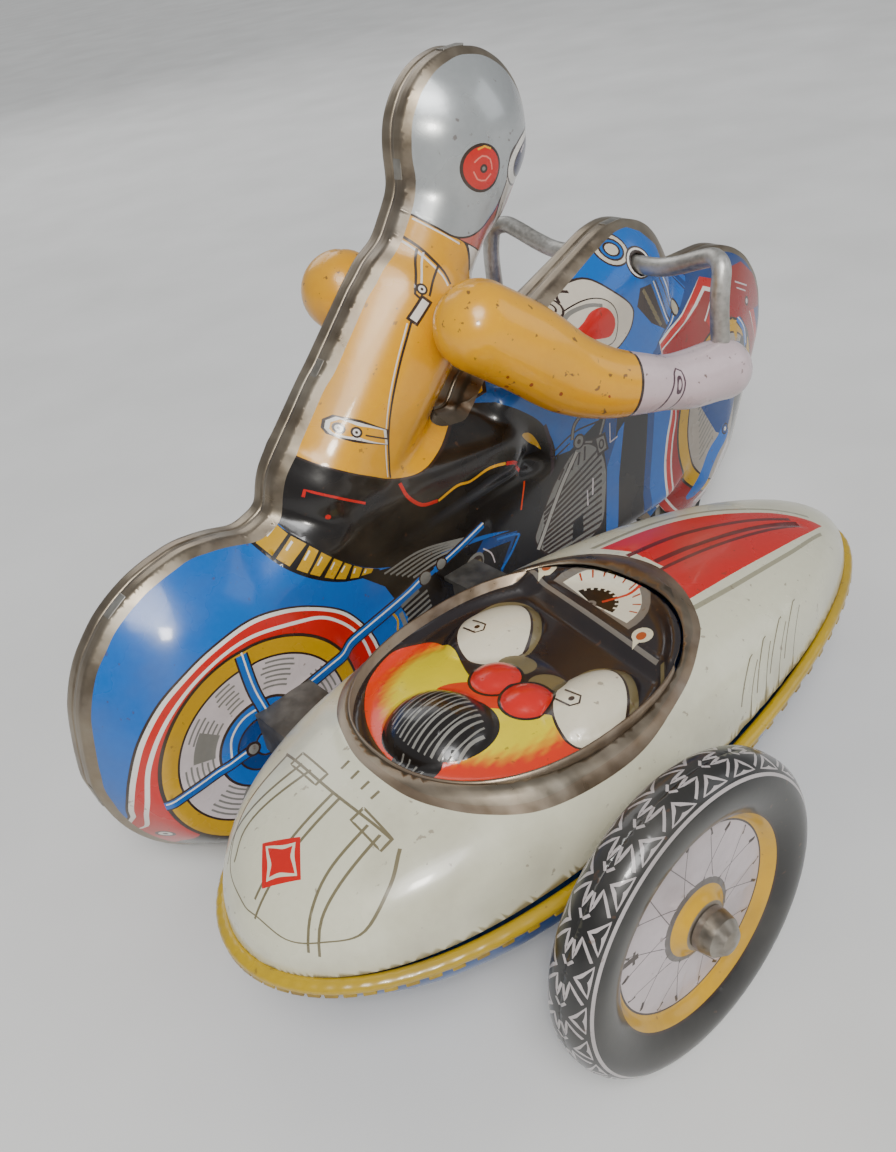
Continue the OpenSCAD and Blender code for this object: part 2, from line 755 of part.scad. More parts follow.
// The cockpit opening as a flat shape, grown by g
module cockpit_shape(g) {
    polygon([for (i = [0:71]) let (a = 5*i, c = cos(a), s = sin(a), e = 2/2.3)
        [cockpit_x + sign(c)*(cockpit_l/2 + g)*pow(abs(c), e),
         -car_offset + sign(s)*(cockpit_w/2 + g)*pow(abs(s), e)]]);
}

module sidecar_upper() {
    color("beige") {
        difference() {
            dome(-bead_t, joint_z, upper_h, 1, 2.6, 3.6);
            dome(-bead_t - tin, joint_z - 0.01, upper_h - tin, 1, 2.6, 3.6);
            translate([0, 0, joint_z + 2]) linear_extrude(60) cockpit_shape(0);
            strut_slots();
        }
        translate([0, 0, joint_z]) linear_extrude(tin) difference() {
            plan_shape(-bead_t + 1.2);
            plan_shape(-bead_t - tin/2);
        }
    }
}

// The cockpit plate hangs inside the opening on its own turned-up wall
module cockpit_plate() {
    gap = 0.3;
    color("saddlebrown") {
        difference() {
            translate([0, 0, cockpit_floor - tin]) linear_extrude(cockpit_drop - 1.5)
                cockpit_shape(-gap);
            translate([0, 0, cockpit_floor]) linear_extrude(cockpit_drop)
                cockpit_shape(-gap - tin);
        }
        passenger();
    }
}

// The embossed passenger: back, head, arms and knees raised from the plate
module passenger() {
    x = cockpit_x;
    y = -car_offset;
    module boss(dx, dy, r, h) {
        ball = (r*r + h*h)/(2*h);
        translate([x + dx, y + dy, cockpit_floor + h - ball]) intersection() {
            sphere(ball);
            translate([-r, -r, ball - h - 0.1]) cube([2*r, 2*r, 2*h]);
        }
    }
    boss(-8, 0, 17, 4);
    boss(-12, 0, 8.5, 6.5);
    for (s = [-1, 1]) boss(9, 12*s, 6, 3);
}

// The pan and its rolled rim, which closes over the upper shell's flange
module sidecar_pan() {
    color("royalblue") {
        difference() {
            dome(-bead_t, joint_z - 0.6, pan_h, -1, 2.4, 3);
            dome(-bead_t - tin, joint_z - 0.59, pan_h - tin, -1, 2.4, 3);
            translate([-200, -200, -100]) cube([400, 400, 100 + pan_floor_z]);
            strut_slots();
            pin(car_wheel_x, car_wheel_r, -car_offset - half_b - 5, -car_offset, axle_r*2 + 2*slip);
        }
        pan_floor();
        rim();
    }
}

pan_floor_z = joint_z - pan_h + 1.5;

// Flat bottom of the pan
module pan_floor() {
    intersection() {
        dome(-bead_t, joint_z - 0.6, pan_h, -1, 2.4, 3);
        translate([-200, -200, pan_floor_z]) cube([400, 400, tin]);
    }
}

module rim() {
    low = joint_z - 0.6;
    translate([0, 0, low]) linear_extrude(0.55) difference() {
        plan_shape(0);
        plan_shape(-bead_t - tin/2);
    }
    translate([0, 0, low]) linear_extrude(bead_h) difference() {
        plan_shape(0);
        plan_shape(-0.5);
    }
    translate([0, 0, low + bead_h - 0.5]) linear_extrude(0.5) difference() {
        plan_shape(0);
        plan_shape(-bead_t + 0.35);
    }
}

// ================= struts between the motorcycle and the sidecar =================

strut_w = 12;
rear_strut_x = rear_x + 5;
rear_strut_z = joint_z + 4;
front_strut_x = knee_x - 16;
front_strut_z = joint_z + 6.5;
strut_in_y = -(frame_depth - 4);
strut_out_y = -(car_offset - half_b + 12);
strut_rivet_y = strut_out_y + 3.5;
web_out_y = -(car_offset - half_b - 0.6);
web_in_y = -(wheel_depth + 0.6);

// The strut's flat strip from inside the motorcycle to inside the sidecar, or with g its slot
module strip(x, z, w, g) {
    translate([x - w/2 - g, strut_out_y - g, z - g])
        cube([w + 2*g, strut_in_y - strut_out_y + 2*g, plate + 2*g]);
}

module strut(x, z, w, drop) {
    color("dimgray") difference() {
        union() {
            strip(x, z, w, 0);
            translate([x - w/2, web_out_y, z - drop]) cube([plate, web_in_y - web_out_y, drop + plate/2]);
        }
        translate([x, strut_rivet_y, z - past]) cylinder(d = strut_rivet_d, h = plate + 2*past);
    }
}

module strut_slots() {
    strip(rear_strut_x, rear_strut_z, strut_w, 2*slip);
    strip(front_strut_x, front_strut_z, strut_w - 4, 2*slip);
}

module rear_strut() strut(rear_strut_x, rear_strut_z, strut_w, 7);
module front_strut() strut(front_strut_x, front_strut_z, strut_w - 4, 4);

strut_rivet_d = 2.6;

module strut_rivets() {
    color("silver") for (p = [[rear_strut_x, rear_strut_z], [front_strut_x, front_strut_z]])
        translate([p[0], strut_rivet_y, p[1]]) {
            translate([0, 0, -0.5]) cylinder(d = strut_rivet_d, h = plate + 1);
            translate([0, 0, -0.55]) cylinder(d = strut_rivet_d + 2, h = 0.55);
            translate([0, 0, plate]) cylinder(d = strut_rivet_d + 2, h = 0.6);
        }
}

// ================= sidecar wheel =================

axle_r = 1.25;
axle_in_y = -car_offset + 4;
axle_out_y = car_wheel_y - car_wheel_w;
wheel_seam_y = car_wheel_y - car_wheel_w/2;

module sidecar_axle() color("silver")
    pin(car_wheel_x, car_wheel_r, axle_out_y - 3, axle_in_y, 2*axle_r);

module axle_washers() {
    color("silver") {
        difference() {
            pin(car_wheel_x, car_wheel_r, car_wheel_y + 0.1, car_wheel_y + 0.9, 7);
            pin(car_wheel_x, car_wheel_r, car_wheel_y - past, car_wheel_y + 2, 2*axle_r);
        }
        difference() {
            pin(car_wheel_x, car_wheel_r, -car_offset + 1, -car_offset + 1.8, 7);
            pin(car_wheel_x, car_wheel_r, -car_offset - past, -car_offset + 3, 2*axle_r);
        }
    }
}

// Half of the tyre-and-disc pressing, as a ring section: [radius, depth] from the seam outward
module wheel_pressing(y, way) {
    r = car_wheel_r;
    w = car_wheel_w/2;
    t = tin;
    disc_r = r*0.64;
    hub = 2*axle_r + 2*running;
    outer = [[r, 0], [r, w - 2.6], [r - 1.1, w - 0.6], [r - 3, w], [r - 6, w - 0.3],
             [disc_r + 1, w - 2], [disc_r, w - 3.2], [5, w - 2.6], [4, w - 1.2], [hub/2, w - 1]];
    inner = [[hub/2, w - 1 - t], [4 - t, w - 1.2 - t], [5 - t, w - 2.6 - t],
             [disc_r + t, w - 3.2 - t], [disc_r + 1 + t, w - 2 - t], [r - 6, w - 0.3 - t],
             [r - 3, w - t], [r - 1.1 - t, w - 0.6 - t], [r - t, w - 2.6], [r - t, 0]];
    translate([car_wheel_x, y, r]) rotate([way*90, 0, 0]) rotate_extrude()
        polygon(concat(outer, inner));
}

module sidecar_wheel_outer() color("gray") wheel_pressing(wheel_seam_y - slip/2, 1);
module sidecar_wheel_inner() color("dimgray") wheel_pressing(wheel_seam_y + slip/2, -1);

// Domed cap pressed on the axle's outer end
module axle_cap() {
    y = axle_out_y + 0.8;
    color("silver") difference() {
        translate([car_wheel_x, y, car_wheel_r]) rotate([90, 0, 0]) rotate_extrude()
            polygon([[0, 0], [3.4, 0], [3.4, 1], [3, 2.8], [1.9, 4.1], [0, 4.6]]);
        pin(car_wheel_x, car_wheel_r, axle_out_y - 3, y + past, 2*axle_r);
    }
}

body_shell_right();
body_shell_left();
right_arm_outer();
right_arm_inner();
left_arm_outer();
left_arm_inner();
handlebar();
motor_plate_right();
motor_plate_left();
motor_pillars();
mainspring();
winding_arbor();
winding_key();
key_eyelet();
ratchet_wheel();
click();
click_rivet();
great_gear();
intermediate_arbor();
intermediate_pinion();
intermediate_gear();
drive_axle();
drive_pinion();
drive_wheel_right();
drive_wheel_left();
drive_tyre_right();
drive_tyre_left();
front_bracket();
front_strap();
bracket_rivet();
front_axle();
front_wheel();
front_tyre();
sidecar_upper();
cockpit_plate();
sidecar_pan();
rear_strut();
front_strut();
strut_rivets();
sidecar_axle();
axle_washers();
sidecar_wheel_outer();
sidecar_wheel_inner();
axle_cap();
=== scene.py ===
# %% [markdown]
# # A tin wind-up motorcycle with a sidecar
# The CAD part gives every size and every joint. This script builds the printed tin around it:
# each pressing starts as a flat sheet, the ink is cut into it as shapes, and the sheet is then
# pressed to its form. Lengths are in millimetres until a mesh is made, which is in metres.

# %% Load the frame
import bpy, bmesh, json, math
import numpy as np
from mathutils import Matrix, Vector
from mathutils.bvhtree import BVHTree
from mathutils.geometry import delaunay_2d_cdt

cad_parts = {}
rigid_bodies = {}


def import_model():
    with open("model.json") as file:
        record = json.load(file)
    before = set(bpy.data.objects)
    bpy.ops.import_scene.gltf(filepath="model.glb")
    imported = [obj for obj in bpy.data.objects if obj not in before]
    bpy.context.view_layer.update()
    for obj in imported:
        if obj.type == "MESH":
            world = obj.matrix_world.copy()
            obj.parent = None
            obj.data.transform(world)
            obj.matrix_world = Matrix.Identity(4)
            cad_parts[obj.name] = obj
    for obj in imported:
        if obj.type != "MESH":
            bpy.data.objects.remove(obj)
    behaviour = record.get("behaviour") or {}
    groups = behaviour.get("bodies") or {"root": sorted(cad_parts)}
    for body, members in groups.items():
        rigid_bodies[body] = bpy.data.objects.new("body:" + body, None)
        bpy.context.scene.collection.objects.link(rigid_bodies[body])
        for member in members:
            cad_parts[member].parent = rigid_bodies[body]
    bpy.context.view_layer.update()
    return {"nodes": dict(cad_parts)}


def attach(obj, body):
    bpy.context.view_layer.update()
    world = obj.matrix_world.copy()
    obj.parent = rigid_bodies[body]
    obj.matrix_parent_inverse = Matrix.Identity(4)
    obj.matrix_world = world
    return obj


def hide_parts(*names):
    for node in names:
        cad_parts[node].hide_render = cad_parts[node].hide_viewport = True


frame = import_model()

# %% [markdown]
# ## Inks
# An ink is a colour plus a fourth number, how bare the metal is there: 0 is solid paint and 1 is
# naked tin. The colours are mixed as screen values, then turned into linear light.

# %% Inks
def ink(r, g, b, bare=0.0):
    line = [(c / 255 / 12.92) if c < 10 else ((c / 255 + 0.055) / 1.055) ** 2.4 for c in (r, g, b)]
    return (*line, bare)

BARE, SILVER = ink(150, 140, 122, 1.0), ink(172, 176, 177, 0.45)
YELLOW, BLUE, DEEP_BLUE = ink(226, 160, 0), ink(0, 96, 184), ink(4, 58, 122)
RED, CREAM, BLACK = ink(196, 22, 12), ink(209, 207, 183), ink(18, 13, 11)
LINE, WHITE, GREY = ink(48, 32, 24), ink(232, 228, 220), ink(122, 120, 114)
LILAC, SKIN, NAVY = ink(205, 193, 194), ink(190, 98, 84), ink(22, 24, 76)
ORANGE, LEMON, OLIVE = ink(222, 62, 12), ink(226, 205, 16), ink(110, 98, 66)
GLOVE, COPPER, OCHRE = ink(206, 186, 190), ink(118, 94, 70, 0.75), ink(196, 150, 16)

# %% [markdown]
# ## Drawing on the flat sheet
# `curve` runs a smooth line through a few points, `stroke` gives a line some width, and `oval`
# and `poly` make closed shapes. They all return plain lists of points.

# %% Drawing tools
def curve(pts, closed=False, step=0.8):
    p = [np.array(q, float) for q in pts]
    n = len(p)
    out = []
    for i in range(n if closed else n - 1):
        a = p[i - 1] if (closed or i > 0) else 2 * p[0] - p[1]
        b, c = p[i], p[(i + 1) % n]
        d = p[(i + 2) % n] if (closed or i + 2 < n) else 2 * p[-1] - p[-2]
        k = max(1, int(np.linalg.norm(c - b) / step))
        for t in np.arange(k) / k:
            out.append(0.5 * (2 * b + (c - a) * t + (2 * a - 5 * b + 4 * c - d) * t * t
                              + (3 * b - a - 3 * c + d) * t ** 3))
    return [tuple(q) for q in (out if closed else out + [p[-1]])]

def poly(pts, step=0.8):
    out = []
    for a, b in zip(pts, pts[1:] + pts[:1]):
        k = max(1, int(math.dist(a, b) / step))
        out += [(a[0] + (b[0] - a[0]) * i / k, a[1] + (b[1] - a[1]) * i / k) for i in range(k)]
    return out

def path(pts):
    """Straight lines through the points, left open at the end."""
    return poly(pts)[:-max(1, int(math.dist(pts[-1], pts[0]) / 0.8))] + [pts[-1]]

def oval(x, y, rx, ry=None, turn=0, step=0.8):
    ry, c, s = ry or rx, math.cos(math.radians(turn)), math.sin(math.radians(turn))
    n = max(14, int(math.tau * max(rx, ry) / step))
    ring = [(rx * math.cos(math.tau * i / n), ry * math.sin(math.tau * i / n)) for i in range(n)]
    return [(x + a * c - b * s, y + a * s + b * c) for a, b in ring]

def ribbon(line, width):
    p = np.array(line, float)
    t = np.gradient(p, axis=0)
    t /= np.maximum(np.linalg.norm(t, axis=1, keepdims=True), 1e-9)
    side = np.stack([-t[:, 1], t[:, 0]], 1) * width / 2
    return [tuple(q) for q in np.vstack([p + side, (p - side)[::-1]])]

def stroke(pts, width, smooth=True):
    return ribbon(curve(pts) if smooth else path(pts), width)

def bars(a, b, count, width):
    """Several strokes that step from line a to line b."""
    lerp = lambda p, q, t: (p[0] + (q[0] - p[0]) * t, p[1] + (q[1] - p[1]) * t)
    rows = [[lerp(p, q, i / (count - 1)) for p, q in zip(a, b)] for i in range(count)]
    return [stroke(r, width, len(r) > 2) for r in rows]

def printer(art, lay=lambda shape: shape):
    """A function that adds shapes in one ink to the art of a sheet."""
    return lambda colour, *shapes: art.extend((colour, lay(s)) for s in shapes)

def toward(shape, centre, by):
    p, c = np.array(shape, float), np.array(centre, float)
    d = p - c
    return [tuple(q) for q in p - d / np.linalg.norm(d, axis=1, keepdims=True) * by]

# %% [markdown]
# ## From flat sheet to pressing
# The sheet is triangulated so that every ink edge is a real edge of the mesh, which keeps the
# print sharp at any distance. A face takes the ink that was laid down last over it.

# %% Sheet cutter
def area(ring):
    x, y = np.array(ring).T
    return 0.5 * float(np.sum(x * np.roll(y, -1) - y * np.roll(x, -1)))

def inside(ring, pts):
    a = np.array(ring)
    b = np.roll(a, -1, axis=0)
    hit = np.zeros(len(pts), bool)
    for (x1, y1), (x2, y2) in zip(a, b):
        if y1 != y2:
            cross = ((y1 > pts[:, 1]) != (y2 > pts[:, 1]))
            hit ^= cross & (pts[:, 0] < (x2 - x1) * (pts[:, 1] - y1) / (y2 - y1) + x1)
    return hit

def make_mesh(name, verts, faces, inks=None):
    mesh = bpy.data.meshes.new(name)
    mesh.from_pydata([tuple(v) for v in np.asarray(verts) * 0.001], [], faces)
    mesh.polygons.foreach_set("use_smooth", [True] * len(mesh.polygons))
    if inks is not None:
        layer = mesh.attributes.new("ink", "FLOAT_COLOR", "CORNER")
        layer.data.foreach_set("color", np.asarray(inks, np.float32).ravel())
    obj = bpy.data.objects.new(name, mesh)
    bpy.context.scene.collection.objects.link(obj)
    return obj

def press(name, outline, base, layers, place, step=1.0, border=None, extra=None, out=None):
    """outline is the sheet's edge, base its ground ink, and layers are (ink, shape) pairs, where an
    ink of None cuts a hole. place takes flat points to pressed ones. Outside of border the metal
    stays bare. The printed face looks toward out."""
    shapes = [outline] + ([border] if border else []) + [s for _, s in layers]
    first = 2 if border else 1
    pts, loops = [], []
    for ring in shapes:
        ring = ring if area(ring) > 0 else ring[::-1]
        loops.append(list(range(len(pts), len(pts) + len(ring))))
        pts += ring
    lo, hi = np.min(outline, axis=0), np.max(outline, axis=0)
    gx, gy = np.meshgrid(np.arange(lo[0], hi[0], step), np.arange(lo[1], hi[1], step * 0.87))
    gx = gx + (np.arange(gx.shape[0])[:, None] % 2) * step / 2
    grid = np.stack([gx.ravel(), gy.ravel()], 1)
    grid = grid[inside(outline, grid)]
    pts += [tuple(p) for p in grid] + (extra or [])
    found = delaunay_2d_cdt([Vector(p) for p in pts], [], loops, 0, 1e-4, True)
    xy = np.array([tuple(v) for v in found[0]], float)
    faces, colours = [], []
    for tri, owners in zip(found[2], found[5]):
        if 0 not in owners:
            continue
        top = max(owners)
        if border and 1 not in owners:
            colour = BARE
        elif top < first:
            colour = base
        else:
            colour = layers[top - first][0]
        if colour is None:
            continue
        faces.append(tuple(tri))
        colours += [colour(*xy[i]) if callable(colour) else colour for i in tri]
    obj = make_mesh(name, place(xy), faces, colours)
    if out is not None:
        total = sum((p.normal * p.area for p in obj.data.polygons), Vector())
        if total.dot(Vector(out)) < 0:
            obj.data.flip_normals()
    print(f"{name}: {len(faces)} faces, {len(layers)} ink shapes")
    return obj

# %% [markdown]
# ## Finishes
# Litho tin is paint under a clear varnish. The ink attribute gives its colour, noise dulls and
# scratches it, and where the ink is bare the metal shows with brush streaks and warm tarnish.

# %% Node helpers
def wire(tree, kind, ins=None, **props):
    n = tree.nodes.new(kind)
    for k, v in props.items():
        setattr(n, k, v)
    for k, v in (ins or {}).items():
        if isinstance(v, bpy.types.NodeSocket):
            tree.links.new(v, n.inputs[k])
        else:
            n.inputs[k].default_value = v
    return n

def ramp(tree, fac, stops):
    n = wire(tree, "ShaderNodeValToRGB", {"Fac": fac})
    els = n.color_ramp.elements
    while len(els) < len(stops):
        els.new(0.5)
    for e, (pos, col) in zip(els, stops):
        e.position = pos
        e.color = col if len(col) == 4 else (*col, 1)
    return n.outputs["Color"]

def grey_stops(a, va, b, vb):
    return [(a, (va,) * 3), (b, (vb,) * 3)]

def blank(name):
    mat = bpy.data.materials.new(name)
    mat.use_nodes = True
    mat.node_tree.nodes.clear()
    return mat, mat.node_tree

def noise(tree, coord, scale, detail=4.0, stretch=None):
    if stretch:
        coord = wire(tree, "ShaderNodeMapping", {"Vector": coord, "Scale": stretch}).outputs["Vector"]
    return wire(tree, "ShaderNodeTexNoise", {"Vector": coord, "Scale": scale,
                                             "Detail": detail}).outputs["Fac"]

def mix(tree, fac, a, b, blend="MIX"):
    n = wire(tree, "ShaderNodeMix", data_type="RGBA", blend_type=blend)
    for key, v in ((0, fac), (6, a), (7, b)):
        if isinstance(v, bpy.types.NodeSocket):
            tree.links.new(v, n.inputs[key])
        else:
            n.inputs[key].default_value = v
    return n.outputs[2]

def math_node(tree, op, a, b=0.5, clamp=False):
    return wire(tree, "ShaderNodeMath", {0: a, 1: b}, operation=op, use_clamp=clamp).outputs[0]

# %% Litho tin
def litho(name, dirt=0.3, chips=0.5, gloss=0.2, dirt_colour=(0.16, 0.12, 0.07, 1)):
    mat, t = blank(name)
    co = wire(t, "ShaderNodeTexCoord").outputs["Object"]
    paint = wire(t, "ShaderNodeAttribute", attribute_name="ink")
    colour, bare = paint.outputs["Color"], paint.outputs["Alpha"]
    cloud, fine = noise(t, co, 60), noise(t, co, 900, 2)
    grime = ramp(t, cloud, grey_stops(0.48, 0, 0.74, dirt))
    specks = ramp(t, noise(t, co, 620, 3), grey_stops(0.70 - 0.04 * chips, 0, 0.74 - 0.04 * chips, 1))
    printed = mix(t, grime, colour, dirt_colour)
    printed = mix(t, ramp(t, fine, grey_stops(0.35, 0.0, 0.7, 0.10)), printed, (0.9, 0.9, 0.9, 1),
                  "SOFT_LIGHT")
    printed = mix(t, math_node(t, "MULTIPLY", specks, 0.35 + 0.5 * chips), printed, (0.10, 0.045, 0.02, 1))
    streaks = noise(t, co, 260, 5, (1.0, 0.25, 1.0))
    tarnish = ramp(t, noise(t, co, 75, 6), [(0.30, (0.36, 0.31, 0.24)), (0.5, (0.30, 0.22, 0.14)),
                                         (0.62, (0.17, 0.11, 0.07)), (0.78, (0.42, 0.40, 0.36))])
    metal = mix(t, 0.35, tarnish, ramp(t, streaks, [(0.3, (0.10, 0.08, 0.06)), (0.7, (0.55, 0.52, 0.46))]))
    metal = mix(t, 0.35, metal, colour)
    is_bare = ramp(t, bare, grey_stops(0.55, 0, 0.75, 1))
    base = mix(t, is_bare, printed, metal)
    metallic = math_node(t, "MULTIPLY", bare, 0.95)
    rough = mix(t, is_bare, ramp(t, cloud, grey_stops(0.3, gloss, 0.75, gloss + 0.16)),
                ramp(t, streaks, grey_stops(0.3, 0.26, 0.7, 0.5)))
    dents = math_node(t, "ADD", noise(t, co, 42, 2), math_node(t, "MULTIPLY", fine, 0.05))
    bump = wire(t, "ShaderNodeBump", {"Height": dents, "Strength": 0.22, "Distance": 0.0006})
    coat = math_node(t, "SUBTRACT", 0.5, is_bare, True)
    b = wire(t, "ShaderNodeBsdfPrincipled", {"Base Color": base, "Metallic": metallic, "Roughness": rough,
             "Coat Weight": coat, "Coat Roughness": 0.09, "Normal": bump.outputs["Normal"]})
    wire(t, "ShaderNodeOutputMaterial", {"Surface": b.outputs["BSDF"]})
    return mat

# %% Plain metals and rubber
def worn(name, light, dark, metallic, rough, scale=140, bump_mm=0.15, streak=None):
    mat, t = blank(name)
    co = wire(t, "ShaderNodeTexCoord").outputs["Object"]
    cloud, fine = noise(t, co, scale, 5), noise(t, co, scale * 6, 3, streak)
    base = mix(t, ramp(t, cloud, grey_stops(0.38, 0, 0.72, 1)), (*light, 1), (*dark, 1))
    base = mix(t, 0.25, base, ramp(t, fine, grey_stops(0.3, 0.02, 0.75, 0.8)), "OVERLAY")
    height = math_node(t, "ADD", cloud, math_node(t, "MULTIPLY", fine, 0.3))
    bump = wire(t, "ShaderNodeBump", {"Height": height, "Strength": 0.3, "Distance": bump_mm * 0.001})
    b = wire(t, "ShaderNodeBsdfPrincipled", {"Base Color": base, "Metallic": metallic,
             "Roughness": ramp(t, fine, grey_stops(0.3, rough, 0.75, min(1, rough + 0.22))),
             "Normal": bump.outputs["Normal"]})
    wire(t, "ShaderNodeOutputMaterial", {"Surface": b.outputs["BSDF"]})
    return mat

LITHO = litho("litho_shell", 0.22, 0.35)
LITHO_ARM = litho("litho_sleeve", 0.16, 0.95, 0.24)
LITHO_CAR = litho("litho_sidecar", 0.30, 0.25, 0.22)
LITHO_PIT = litho("litho_cockpit", 0.20, 0.30, 0.24, (0.05, 0.04, 0.03, 1))
LITHO_WHEEL = litho("litho_wheel", 0.40, 0.20, 0.30, (0.09, 0.085, 0.075, 1))
INSIDE = worn("tin_inside", (0.40, 0.36, 0.28), (0.20, 0.15, 0.10), 0.85, 0.42)
STEEL = worn("steel_rod", (0.62, 0.61, 0.58), (0.40, 0.38, 0.34), 0.85, 0.34, 170, 0.1)
PLATE_STEEL = worn("motor_steel", (0.42, 0.41, 0.38), (0.20, 0.17, 0.13), 0.9, 0.38, 90)
SPRING_STEEL = worn("spring_steel", (0.16, 0.17, 0.20), (0.06, 0.05, 0.05), 0.9, 0.32, 120)
KEY_STEEL = worn("key_steel", (0.50, 0.49, 0.46), (0.26, 0.22, 0.17), 0.95, 0.28, 100)
BRASS = worn("brass", (0.62, 0.42, 0.13), (0.30, 0.18, 0.06), 0.95, 0.3, 130)
WHEEL_TIN = worn("wheel_tin", (0.44, 0.42, 0.37), (0.18, 0.14, 0.10), 0.9, 0.4, 110)
RUBBER = worn("tyre_rubber", (0.030, 0.029, 0.028), (0.075, 0.070, 0.062), 0.0, 0.62, 160, 0.3)
RIM_TIN = worn("rim_tin", (0.42, 0.27, 0.012), (0.22, 0.13, 0.02), 0.1, 0.3, 150, 0.1)
STRUT_TIN = worn("strut_tin", (0.20, 0.19, 0.17), (0.07, 0.06, 0.05), 0.75, 0.4, 90)

# %% Thickness, cuts and final mesh
def bake(obj, mats):
    """Applies the modifiers, so that the piece is a plain mesh."""
    dg = bpy.context.evaluated_depsgraph_get()
    mesh = bpy.data.meshes.new_from_object(obj.evaluated_get(dg))
    obj.modifiers.clear()
    obj.data = mesh
    mesh.materials.clear()
    for m in mats:
        mesh.materials.append(m)
    return obj

def thicken(obj, mm=0.5):
    obj.data.materials.append(LITHO)
    obj.data.materials.append(INSIDE)
    m = obj.modifiers.new("tin", "SOLIDIFY")
    m.thickness, m.offset = mm * 0.001, -1
    m.material_offset = m.material_offset_rim = 1
    return obj

def cutter(kind, at, size, axis="Y"):
    """A round or square punch: size is (radius, length) or three sides, in millimetres."""
    bm = bmesh.new()
    if kind == "round":
        bmesh.ops.create_cone(bm, cap_ends=True, segments=72, radius1=size[0] * 0.001,
                              radius2=size[0] * 0.001, depth=size[1] * 0.001)
        if axis == "Y":
            bmesh.ops.rotate(bm, verts=bm.verts, matrix=Matrix.Rotation(math.pi / 2, 3, "X"))
    else:
        bmesh.ops.create_cube(bm, size=0.001)
        bmesh.ops.scale(bm, verts=bm.verts, vec=Vector(size))
    bmesh.ops.translate(bm, verts=bm.verts, vec=Vector(at) * 0.001)
    mesh = bpy.data.meshes.new("punch")
    bm.to_mesh(mesh)
    bm.free()
    obj = bpy.data.objects.new("punch", mesh)
    bpy.context.scene.collection.objects.link(obj)
    return obj

def punch(obj, cutters):
    for c in cutters:
        m = obj.modifiers.new("cut", "BOOLEAN")
        m.operation, m.object, m.solver = "DIFFERENCE", c, "EXACT"
    return obj

# %% [markdown]
# ## The motorcycle and rider shell
# Each half is pressed from one sheet. Its form is a set of rounded pads joined by stretched
# skins, so the pads are hulled, looked at from the side on a half-millimetre grid, and smoothed
# the way a press rounds every inside corner.

# %% Pads: x, z, radius, depth, how far the edge is drawn in, how round the fall is
SKIRT = 2.6
PADS = [
    [(-65.3, 29, 28.3, 10.8, 9.5, 1.2), (-64.8, 34.3, 27.8, 10.8, 9.5, 1.2), (-65.3, 27, 23.3, 13.3, 3, 2)],
    [(-56, 45, 13, 11.5, 9, 2), (-42, 48.5, 13.5, 11.5, 9, 2), (-37, 33, 17.5, 11.5, 5, 2)],
    [(-34, 60, 13.4, 11.3, 11.4, 2), (-8.5, 84.5, 13.4, 11.3, 11.4, 2)],
    [(-6.5, 88.5, 9.9, 8.8, 9, 2), (4.5, 102, 10.6, 9.3, 9, 2)],
    [(8.5, 110, 14.6, 10.8, 13.6, 2), (6, 104, 12.6, 10.3, 11.6, 2)],
    [(-34, 53, 12, 12, 8, 2), (0, 54, 8.5, 13, 6, 2)],
    [(44, 68.8, 15.5, 11, 12, 2), (6, 60, 9.5, 11.5, 6, 2), (32, 40, 16, 11.5, 6, 2)],
    [(-34, 33, 18.5, 11.5, 6, 2), (43.7, 34, 18, 11.5, 6, 2)],
    [(73.2, 49.5, 19.8, 9.3, 18, 1.1), (52, 57.8, 12, 10.5, 8, 2),
     (66, 27, 17, 12, 16, 1.1), (60, 21, 16, 12, 14, 1.1)]]

def hulled(pads):
    bm = bmesh.new()
    for x, z, r, d, edge, fall in pads:
        for u in (1, 0.9, 0.78, 0.64, 0.5, 0.36, 0.22, 0.1, 0):
            rr, y = r - edge * (1 - u), SKIRT + (d - SKIRT) * (1 - u ** fall)
            for a in np.arange(80) / 80 * math.tau:
                bm.verts.new((x + rr * math.cos(a), -y, z + rr * math.sin(a)))
        for a in np.arange(80) / 80 * math.tau:
            bm.verts.new((x + r * math.cos(a), 0, z + r * math.sin(a)))
    bmesh.ops.convex_hull(bm, input=bm.verts)
    return bm

CELL, X0, Z0 = 0.5, -99.0, -4.0
NX, NZ = 397, 266
form = bmesh.new()
for group in PADS:
    part = hulled(group)
    scrap = bpy.data.meshes.new("scrap")
    part.to_mesh(scrap)
    part.free()
    form.from_mesh(scrap)
tree = BVHTree.FromBMesh(form)
height = np.full((NZ, NX), np.nan)
for j in range(NZ):
    for i in range(NX):
        hit = tree.ray_cast(Vector((X0 + i * CELL, -60, Z0 + j * CELL)), Vector((0, 1, 0)))[0]
        if hit is not None:
            height[j, i] = -hit.y
form.free()

def blur(field, mm):
    s = mm / CELL
    k = np.arange(-int(3 * s) - 1, int(3 * s) + 2)
    w = np.exp(-k * k / (2 * s * s))
    w /= w.sum()
    for axis in (0, 1):
        field = sum(wi * np.roll(field, int(ki), axis) for wi, ki in zip(w, k))
    return field

# Distance to the outline, read back from a blurred mask: negative inside
solid = np.isfinite(height)
soft = np.clip(blur(solid.astype(float), 1.2), 1e-3, 1 - 1e-3)
edge_mm = np.clip(-1.2 * np.log(soft / (1 - soft)) / 1.702, -4, 4)
filled = np.where(solid, height, SKIRT - 1.2 * np.maximum(edge_mm, 0))
form_mm = blur(filled, 1.1)
print("deepest pressing:", round(float(np.nanmax(height)), 2), "mm")

# %% [markdown]
# ## The outline
# The outline is the line where the distance field crosses a level. Level 0 is the cut edge, and
# a level just inside it is where the print stops short of the seam.

